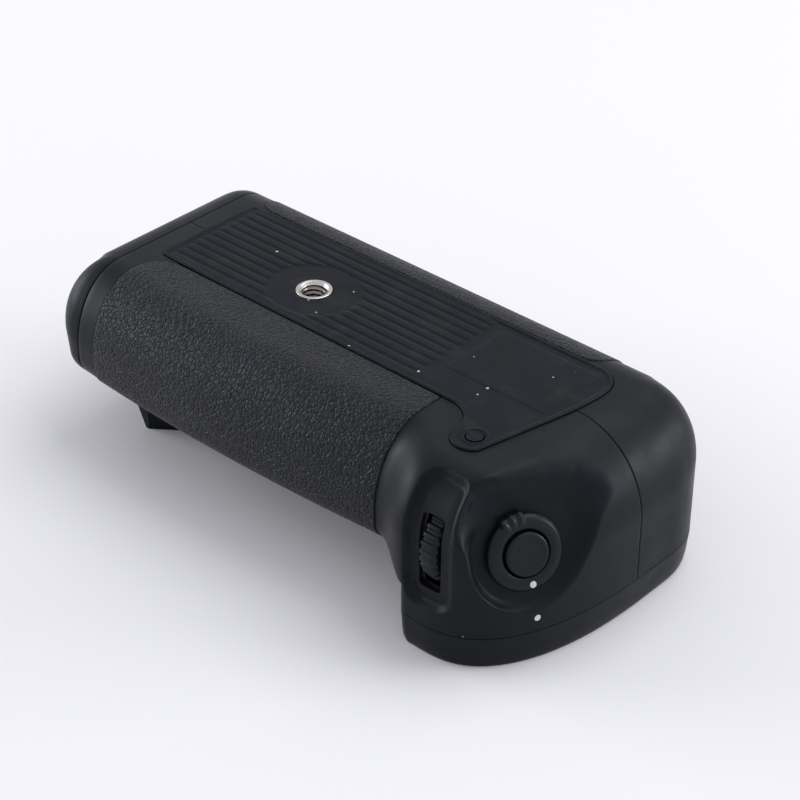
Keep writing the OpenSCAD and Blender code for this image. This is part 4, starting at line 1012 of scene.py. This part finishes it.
def rear_side(v):
    return SEAM_Y + SEAM_GAP - v[:, 1]


def above_deck(v):
    return DECK_H + 0.12 - v[:, 2]


def right_of_cap(v):
    return CAP_X - v[:, 0]


def cap_side(v):
    return v[:, 0] - CAP_X + 2 * SEAM_GAP


def clear_of_dial(v, at):
    """Moves inner points of a wall out of the room that a dial turns in, along the shorter way."""
    x, y, z = (v - at).T
    r = np.maximum(np.hypot(y, z), 1e-6)
    outward = DIAL_R + DIAL_ROOM - r
    aside = DIAL_W / 2 + DIAL_ROOM - np.abs(x)
    hit = (outward > 0) & (aside > 0)
    sideways = hit & (aside < outward)
    v[sideways, 0] += (np.sign(x) * aside)[sideways]
    turned = hit & ~sideways
    v[turned, 1] += (y / r * outward)[turned]
    v[turned, 2] += (z / r * outward)[turned]


def casing_half(name, side, openings, dial_at, node):
    """One half of the casing, thickened, held back from the cap and kept clear of its dial."""
    v, t = shell(*cut_sheet([right_of_cap, side, above_deck], openings), LIP, WALL)
    v[:, 0] = np.maximum(v[:, 0], CAP_X)
    clear_of_dial(v, dial_at)
    to_object(name, v, t, "casing_plastic", "grip", node)


wheel_slot = window(1, TRIPOD[0] - WHEEL_SLOT, 0, TRIPOD[0] + WHEEL_SLOT, WHEEL_Z + WHEEL_T + 0.5, 0.6)
casing_half("front_shell", front_side, [
    front_rubber_distance, pad_distance, dial_window(-1, SUB), shutter_bore,
    index_spot], SUB, "front_casing")
casing_half("rear_shell", rear_side, [
    rear_rubber_distance, pad_distance, dial_window(1, MAIN), round_hole(REAR_AT, REAR_R + 0.35),
    round_hole(SELECT_AT, SELECT_R + 1.5), wheel_slot], MAIN, "rear_casing")
PANEL_LIP = 0.3
PANEL_R = 0.25
for name, inside in (("front", front_rubber_distance), ("rear", rear_rubber_distance)):
    panel = shell(*cut_sheet([inside], lip=PANEL_LIP), PANEL_R, RUBBER_T, RUBBER_PROUD)
    to_object(name + "_rubber", *panel, "grip_rubber", "grip", name + "_grip_rubber")
spot = cut_sheet([index_spot], lip=0.05)
to_object("index_mark", *shell(*spot, 0.05, 0.3, -0.03), "mark_white", "grip", "index_dot")

# End cap of the battery holder: its skin, the cup of the latch knob and the plug that enters the casing
CAP_DEPTH = 4.5
CUP_R = KNOB_R + 0.45
CUP_OUT = KNOB_R + 1.8
CUP_FLOOR = KNOB_DEPTH + 1
CUP_RIM = 0.9
cap_v, cap_t = shell(*cut_sheet([cap_side], [knob_recess]), LIP, CAP_DEPTH)
cap_v[:, 0] = np.minimum(cap_v[:, 0], CAP_X - 2 * SEAM_GAP)
cup = lathe(rounded([
    (SPINDLE_BORE, CUP_FLOOR), (CUP_OUT, CUP_FLOOR), (CUP_OUT, CUP_RIM), (CUP_R, CUP_RIM),
    (CUP_R, KNOB_DEPTH), (SPINDLE_BORE, KNOB_DEPTH), (SPINDLE_BORE, CUP_FLOOR)], 0.3))
cup = moved(cup, along_x, LATCH_AT)


def rounded_bar(x0, x1, half_y, half_z, r, edge=0.5, bore=0.0):
    """A bar along X with rounded corners, softened ends and, if one is given, a round bore on its axis."""
    y = half_y - r
    z = half_z - r
    loops = []
    for x, grow in ((x0, -edge), (x0 + edge * 0.3, -edge * 0.3), (x0 + edge, 0), (x1 - edge, 0),
                    (x1 - edge * 0.3, -edge * 0.3), (x1, -edge)):
        p = np.concatenate([arc(*corner, r + grow, 90 * k, 90 * k + 90, 6)
                            for k, corner in enumerate(((y, z), (-y, z), (-y, -z), (y, -z)))])
        loops.append(np.concatenate([np.full((len(p), 1), x), p], 1))
    n = len(loops[0])
    if bore:
        ring = arc(0, 0, bore, 0, 360 * (1 - 1 / n), n - 1)
        for x in (x1, x0):
            loops.append(np.concatenate([np.full((n, 1), x), ring], 1))
        return np.concatenate(loops), loop_faces(len(loops), n, True)
    v = np.concatenate(loops)
    ends = [list(range(n))[::-1], list(range(len(v) - n, len(v)))]
    return v, loop_faces(len(loops), n) + ends


plug = rounded_bar(CAP_X - 4, CAP_X + 4, 21.0, 8.65, 1.6, bore=SPINDLE_BORE)
plug = moved(plug, along_z, CHAMBER_AT)
to_object("holder_cap", *join((cap_v, cap_t), cup, plug), "casing_plastic", "holder", "end_cap")

# Latch knob with its finger bar
knob = lathe(rounded([(0.01, KNOB_DEPTH - 0.05), (KNOB_R, KNOB_DEPTH - 0.05), (KNOB_R, KNOB_DEPTH - 1.6),
                      (KNOB_R - 0.8, KNOB_DEPTH - 1.75), (0.01, KNOB_DEPTH - 1.6)], 0.35))
knob = moved(knob, along_x, LATCH_AT)
bar = rounded_bar(KNOB_DEPTH - 2.8, KNOB_DEPTH - 1.4, KNOB_R - 0.7, 2.0, 1.2, edge=0.4)
bar = moved(bar, along_z, LATCH_AT)
to_object("latch_dial", *join(knob, bar), "control_plastic", "latch", "latch_knob", 40)

# Base pad: raised bars, a smooth zone around the socket and a bare label field
PAD_LAND = BODY_H - 0.3
RIB_COUNT = 11
RIB_PITCH = PAD_DEPTH / (RIB_COUNT + 0.4)
RIB_HALF = 1.02
RIB_X0 = PAD_X0 + 2.6
RIB_X1 = 20.5
RIB_H = 0.22
LABEL = (23.6, 0.2, 52.0, 19.8)
LABEL_H = 0.1
BORDER_W = 1.15
BORDER_H = 0.28
PLUG_RING_H = 0.16
ZONE_R = 10.5
ZONE_STRETCH = 0.86
HOLE_ROOM = 0.35
EDGE_R = 0.3


def pad_height(x, y):
    h = np.zeros_like(x)
    zone = ZONE_R - np.hypot((x - TRIPOD[0]) * ZONE_STRETCH, y - TRIPOD[1])
    for k in range(RIB_COUNT):
        yc = PAD_Y0 + RIB_PITCH * (k + 0.7)
        d = round_box(x, y, RIB_X0, yc - RIB_HALF, RIB_X1, yc + RIB_HALF, RIB_HALF * 0.9)
        d = smooth_max(d, zone, 1.2)
        h = np.maximum(h, RIB_H * smooth((0.3 - d) / 0.6))
    field = round_box(x, y, *LABEL, 0.6)
    h = np.maximum(h, LABEL_H * smooth((0.15 - field) / 0.3))
    edge = polygon_distance(x, y, pad_outline(0))
    border = BORDER_H * smooth((edge + BORDER_W) / 0.35)
    ring = np.abs(np.hypot(x - PLUG_AT[0], y - PLUG_AT[1]) - PLUG_R - 0.75)
    h = np.maximum(h, PLUG_RING_H * smooth((0.5 - ring) / 0.35))
    return PAD_LAND + np.maximum(h, border)


xs = np.arange(PAD_X0 - 1, PAD_X1 + 1.01, 0.62)
ys = np.arange(TAB_Y - TAB_R - 1, PAD_Y1 + 1.01, 0.3)
gx, gy = np.meshgrid(xs, ys)
flat = np.stack([gx.ravel(), gy.ravel(), np.zeros(gx.size)], 1)
index = np.arange(gx.size).reshape(gx.shape)
cells = np.stack([index[:-1, :-1], index[:-1, 1:], index[1:, 1:], index[1:, :-1]], 2).reshape(-1, 4)
pv, pt = weld(flat, cells)
pv, pt = clip(pv, pt, lambda p: polygon_distance(p[:, 0], p[:, 1], pad_outline(0)) + EDGE_R)
for at, r in ((TRIPOD, BUSH_R), (PLUG_AT, PLUG_R)):
    pv, pt = clip(pv, pt, lambda p: r + HOLE_ROOM - np.hypot(p[:, 0] - at[0], p[:, 1] - at[1]))
centre = pv[pt].mean(1)
pv, pt = refine(pv, pt, polygon_distance(centre[:, 0], centre[:, 1], pad_outline(0)) > -1.5)
pv[:, 2] = pad_height(pv[:, 0], pv[:, 1])
to_object("pad_sheet", *shell(pv, pt, EDGE_R, PAD_T - 0.35), "pad_rubber", "grip", "base_pad")
stopper = lathe(rounded([
    (0.01, -0.75), (PLUG_R - 0.05, -0.75), (PLUG_R - 0.05, -0.12), (PLUG_R - 0.5, -0.22),
    (0.01, -0.2)], 0.15))
stopper = moved(stopper, along_z, [*PLUG_AT, BODY_H])
to_object("pad_stopper", *stopper, "pad_rubber", "grip", "pad_plug")

# Tripod socket: a plated ring with a step, and the cut thread below it
STEP = 0.75
BORE_R = 2.98
THREAD_PITCH = 1.27
FLANGE_R = BUSH_R + 1.5
FLANGE_T = 1.8
BUSH_FOOT = 0.05
SOCKET_AT = [*TRIPOD, BODY_H - BUSH_LEN]
ring = lathe(rounded([
    (BORE_R, BUSH_FOOT), (FLANGE_R, BUSH_FOOT), (FLANGE_R, FLANGE_T), (BUSH_R - 0.02, FLANGE_T),
    (BUSH_R - 0.02, BUSH_LEN - 0.12), (BUSH_R - 0.45, BUSH_LEN - 0.02), (3.55, BUSH_LEN - 0.1),
    (3.4, BUSH_LEN - 0.32), (BORE_R, BUSH_LEN - STEP), (BORE_R, BUSH_FOOT)], 0.1, 3))
to_object("socket_ring", *moved(ring, along_z, SOCKET_AT), "bush_nickel", "grip", "tripod_bush", 40)
wall = thread(BORE_R - 0.02, 0.1, BUSH_LEN - STEP, THREAD_PITCH, -0.4)
n_wall = wall.shape[1]
back = np.zeros((n_wall, 3))
back[:, :2] = arc(0, 0, BORE_R + 0.3, 0, 360 * (1 - 1 / n_wall), n_wall - 1)
loops = [back + [0, 0, 0.1], back + [0, 0, BUSH_LEN - STEP - 0.1]] + list(wall[::-1])
turns = moved((np.concatenate(loops), loop_faces(len(loops), n_wall, True)), along_z, SOCKET_AT)
# The thread takes the darker nickel, painted shade of the deep bore
to_object("socket_thread", *turns, "bush_nickel", "grip", "tripod_bush", 50, SHADED_THREAD)

# Lock collar with its nub, the white dot and the shutter button
FOOT = DISH_FLOOR - 0.12
SLEEVE_END = -FOOT - 4.0
TOP = -BUTTON_PROUD
RIDGE_ANGLE = 13
collar_profile = rounded([
    (COLLAR_IN, SLEEVE_END), (SLEEVE_R, SLEEVE_END), (SLEEVE_R, -FOOT), (COLLAR_R, -FOOT),
    (COLLAR_R, TOP - 0.95), (COLLAR_R - 0.75, TOP - 0.2), (COLLAR_R - 2.0, TOP + 0.02),
    (COLLAR_IN + 0.35, TOP - 0.12), (COLLAR_IN, TOP - 0.5), (COLLAR_IN, SLEEVE_END)], 0.25, 3)


def collar_shape(r, z, a):
    turn = (np.degrees(a) - NUB_A + 180) % 360 - 180
    span = smooth((NUB_SPAN / 2 + 3 - np.abs(turn)) / 5)
    rim = smooth((r - COLLAR_R + 2.3) / 1.2) * (z > -FOOT + 0.05)
    ridge = 0.5 + 0.5 * np.cos(np.radians(turn) * 360 / RIDGE_ANGLE)
    grown = r + span * rim * (0.85 - 0.3 * (1 - ridge)) * (r > COLLAR_R - 1.2)
    lifted = z + span * rim * (z > TOP - 1.3) * (0.1 + 0.42 * ridge)
    return grown, lifted


ring = lathe(collar_profile, 288, collar_shape)
to_object("collar_ring", *moved(ring, at_shutter), "control_plastic", "collar", "lock_collar", 45)
dot = lathe(rounded([(0.01, -0.3), (DOT_R, -0.3), (DOT_R, 0.02), (0.01, 0.05)], 0.05), 32)
DOT_PLACE = (COLLAR_IN + COLLAR_R) / 2 + 0.1
dot = moved(dot, along_z, [DOT_PLACE * math.cos(DOT_A), DOT_PLACE * math.sin(DOT_A), TOP + 0.02])
to_object("collar_mark", *moved(dot, at_shutter), "mark_white", "collar", "collar_dot")
button = lathe(rounded([
    (0.01, -8.1), (1.6, -8.1), (1.6, -3.2), (BUTTON_R, -3.2), (BUTTON_R, -0.25), (BUTTON_R - 0.55, 0.0),
    (3.0, -0.1), (0.01, -0.16)], 0.3), 128)
to_object("release_button", *moved(button, at_shutter), "control_plastic", "shutter", "shutter_button", 45)


# Command dials: rounded ribs and softened rims

def dial(name, at, body, node):
    half = DIAL_W / 2
    bore = AXLE_R + 0.06
    profile = rounded([
        (bore, -half), (DIAL_R - 1.1, -half), (DIAL_R, -half + 0.7), (DIAL_R, half - 0.7),
        (DIAL_R - 1.1, half), (bore, half), (bore, -half)], 0.35, 3)

    def ribs(r, z, a):
        wave = (a * DIAL_RIBS / (2 * math.pi)) % 1.0
        tooth = smooth((0.36 - np.abs(wave - 0.5)) / 0.2)
        deep = 0.55 * (1 - tooth) * smooth((r - DIAL_R + 1.6) / 1.2)
        return r - deep, z

    ring = lathe(profile, DIAL_RIBS * 16, ribs)
    to_object(name, *moved(ring, along_x, at), "control_plastic", body, node, 50)


dial("front_dial", SUB, "front_wheel", "sub_dial")
dial("rear_dial", MAIN, "rear_wheel", "main_dial")

# Rear button with a dished face, and the selector with four soft points
FACE_Y = Y_B + 1.4
rear_cap = lathe(rounded([
    (0.01, -5.3), (1.6, -5.3), (1.6, -4.9), (REAR_R + 1.1, -4.9), (REAR_R + 1.1, -3.85), (REAR_R, -3.85),
    (REAR_R, -0.3), (REAR_R - 0.6, 0.0), (2.0, -0.35), (0.01, -0.42)], 0.25))
rear_cap = moved(rear_cap, along_y, [REAR_AT[0], FACE_Y, REAR_AT[1]])
to_object("rear_cap", *rear_cap, "control_plastic", "af_button", "rear_button", 45)


def selector_shape(r, z, a):
    lobe = np.cos(4 * a)
    ring = np.exp(-((r - 4.4) / 0.9) ** 2) * (z > -0.9)
    return r, z + ring * (0.18 + 0.16 * lobe)


# Under its face the selector has a domed skirt about the gimbal's axes, a stem and the pin of one axis
PIVOT = -7.8
SKIRT_R = 8.5
SKIRT_T = 0.6
STEM_R = 1.5
STEM_END = PIVOT - 0.9
PIN_R = 0.55
PIN_HALF = 3.3


def skirt(r, angles):
    return [(r * math.sin(a), PIVOT + r * math.cos(a)) for a in np.radians(angles)]


selector = lathe(rounded([
    (0.01, STEM_END), (STEM_R, STEM_END), (STEM_R, -2.6), *skirt(SKIRT_R - SKIRT_T, [52.5, 58, 64, 70, 75]),
    *skirt(SKIRT_R, [75, 68, 61, 54, 47]), (SELECT_R, -0.9), (SELECT_R - 0.8, -0.25),
    *[(r, -0.2) for r in (5.2, 4.8, 4.4, 4.0, 3.6)], (2.6, -0.55), (0.01, -0.7)], 0.2), 128, selector_shape)
selector = moved(selector, along_y, [SELECT_AT[0], FACE_Y, SELECT_AT[1]])
pin = lathe(rounded([(0.01, -PIN_HALF), (PIN_R, -PIN_HALF), (PIN_R, PIN_HALF), (0.01, PIN_HALF)], 0.1), 24)
pin = moved(pin, along_z, [SELECT_AT[0], FACE_Y + PIVOT, SELECT_AT[1]])
to_object("selector_cap", *join(selector, pin), "control_plastic", "selector", "selector_pad", 45)

# Pieces whose CAD shape is right, with softened edges; the deck's wall gets a fine smooth skin
cad_copy("deck_cover", "casing_plastic", "grip", 0.3)
cad_copy("attachment_wheel", "control_plastic", "wheel", 0.15)
cad_copy("connector_block", "inner_plastic", "grip", 0.3)
cad_copy("holder_tray", "inner_plastic", "holder", 0.2)
cad_copy("chamber_frame", "inner_plastic", "grip", 0.2)

SKIN_END = DECK_X + 9
SKIN_PROUD = 0.03
SKIN_DEPTH = 0.9
low_ring = foot(outline())
ahead = np.roll(low_ring, -1, 0) - np.roll(low_ring, 1, 0)
out = np.stack([ahead[:, 1], -ahead[:, 0]], 1) / np.maximum(np.hypot(*ahead.T), 1e-6)[:, None]
heights, tuck = np.array(DECK_TUCK).T
deck_rows = []
for z in np.linspace(LIP, DECK_H - 0.06 - LIP, 16):
    q = low_ring + out * (SKIN_PROUD - np.interp(z, heights, tuck))
    deck_rows.append(np.concatenate([q, np.full((len(q), 1), z)], 1))
deck_skin = clip(*sheet(np.array(deck_rows)), lambda p: SKIN_END - p[:, 0])
to_object("deck_wall", *shell(*deck_skin, LIP, SKIN_DEPTH), "casing_plastic", "grip", "deck_cover")

# Stage: pale floor, soft light and the photograph's camera
FLOOR = 6.0
floor_mesh = bpy.data.meshes.new("floor")
floor_corners = [(-FLOOR, -FLOOR, 0), (FLOOR, -FLOOR, 0), (FLOOR, FLOOR, 0), (-FLOOR, FLOOR, 0)]
floor_mesh.from_pydata(floor_corners, [], [(0, 1, 2, 3)])
floor = bpy.data.objects.new("floor", floor_mesh)
bpy.context.scene.collection.objects.link(floor)
floor_mat, floor_tree, floor_shader = new_material("floor_paper")
floor_vector = coords(floor_tree)
floor_cloud = noise(floor_tree, floor_vector, 3)
floor_tone = mix_colour(floor_tree, floor_cloud, (0.86, 0.855, 0.9), (0.89, 0.885, 0.93))
link(floor_tree, floor_tone, floor_shader.inputs["Base Color"])
put(floor_shader, {"Roughness": 0.7, "Specular IOR Level": 0.2})
bump(floor_tree, floor_shader, noise(floor_tree, floor_vector, 900), 0.02)
floor_mesh.materials.append(floor_mat)

world = bpy.data.worlds.new("studio")
bpy.context.scene.world = world
world.use_nodes = True
SKY_LIGHT = 0.56
SKY_SEEN = 0.92
sky = world.node_tree
background = sky.nodes["Background"]
put(background, {"Color": (0.94, 0.94, 0.985, 1)})
path = sky.nodes.new("ShaderNodeLightPath")
seen = path.outputs["Is Camera Ray"]
for ray in ("Is Glossy Ray", "Is Transmission Ray"):
    seen = math_node(sky, "MAXIMUM", seen, path.outputs[ray])
level = sky.nodes.new("ShaderNodeMix")
level.data_type = "FLOAT"
put(level, {"A": SKY_LIGHT, "B": SKY_SEEN})
link(sky, seen, level.inputs["Factor"])
link(sky, level.outputs["Result"], background.inputs["Strength"])


def lamp(name, where, aim, size, power):
    light = bpy.data.lights.new(name, "AREA")
    light.shape = "RECTANGLE"
    light.size = size[0]
    light.size_y = size[1]
    light.energy = power
    ob = bpy.data.objects.new(name, light)
    bpy.context.scene.collection.objects.link(ob)
    ob.location = where
    ob.rotation_euler = (Vector(aim) - Vector(where)).to_track_quat("-Z", "Y").to_euler()


lamp("key", (0.25, 0.6, 1.25), (0, 0, 0.02), (1.2, 1.0), 8.5)
lamp("right", (1.0, 0.85, 0.34), (0.05, 0, 0.02), (0.7, 0.4), 8.0)
lamp("left", (-1.15, -0.5, 0.32), (-0.03, 0, 0.02), (0.9, 0.5), 9.5)

IMAGE_PX = 800
FOCAL_PX = 2217.97
SENSOR = 36
CAMERA = Vector((293.7, -309.75, 313.9)) * MM
BACK = Vector((0.559, -0.611, 0.561)).normalized()
RIGHT = Vector((0.737, 0.675, 0.0)).normalized()
UP = BACK.cross(RIGHT)
camera_data = bpy.data.cameras.new("camera")
camera_data.sensor_width = SENSOR
camera_data.lens = FOCAL_PX / IMAGE_PX * SENSOR
camera = bpy.data.objects.new("camera", camera_data)
bpy.context.scene.collection.objects.link(camera)
camera.matrix_world = Matrix.Translation(CAMERA) @ Matrix((RIGHT, UP, BACK)).transposed().to_4x4()
bpy.context.scene.camera = camera
bpy.context.scene.view_settings.view_transform = "Standard"

bpy.context.view_layer.update()
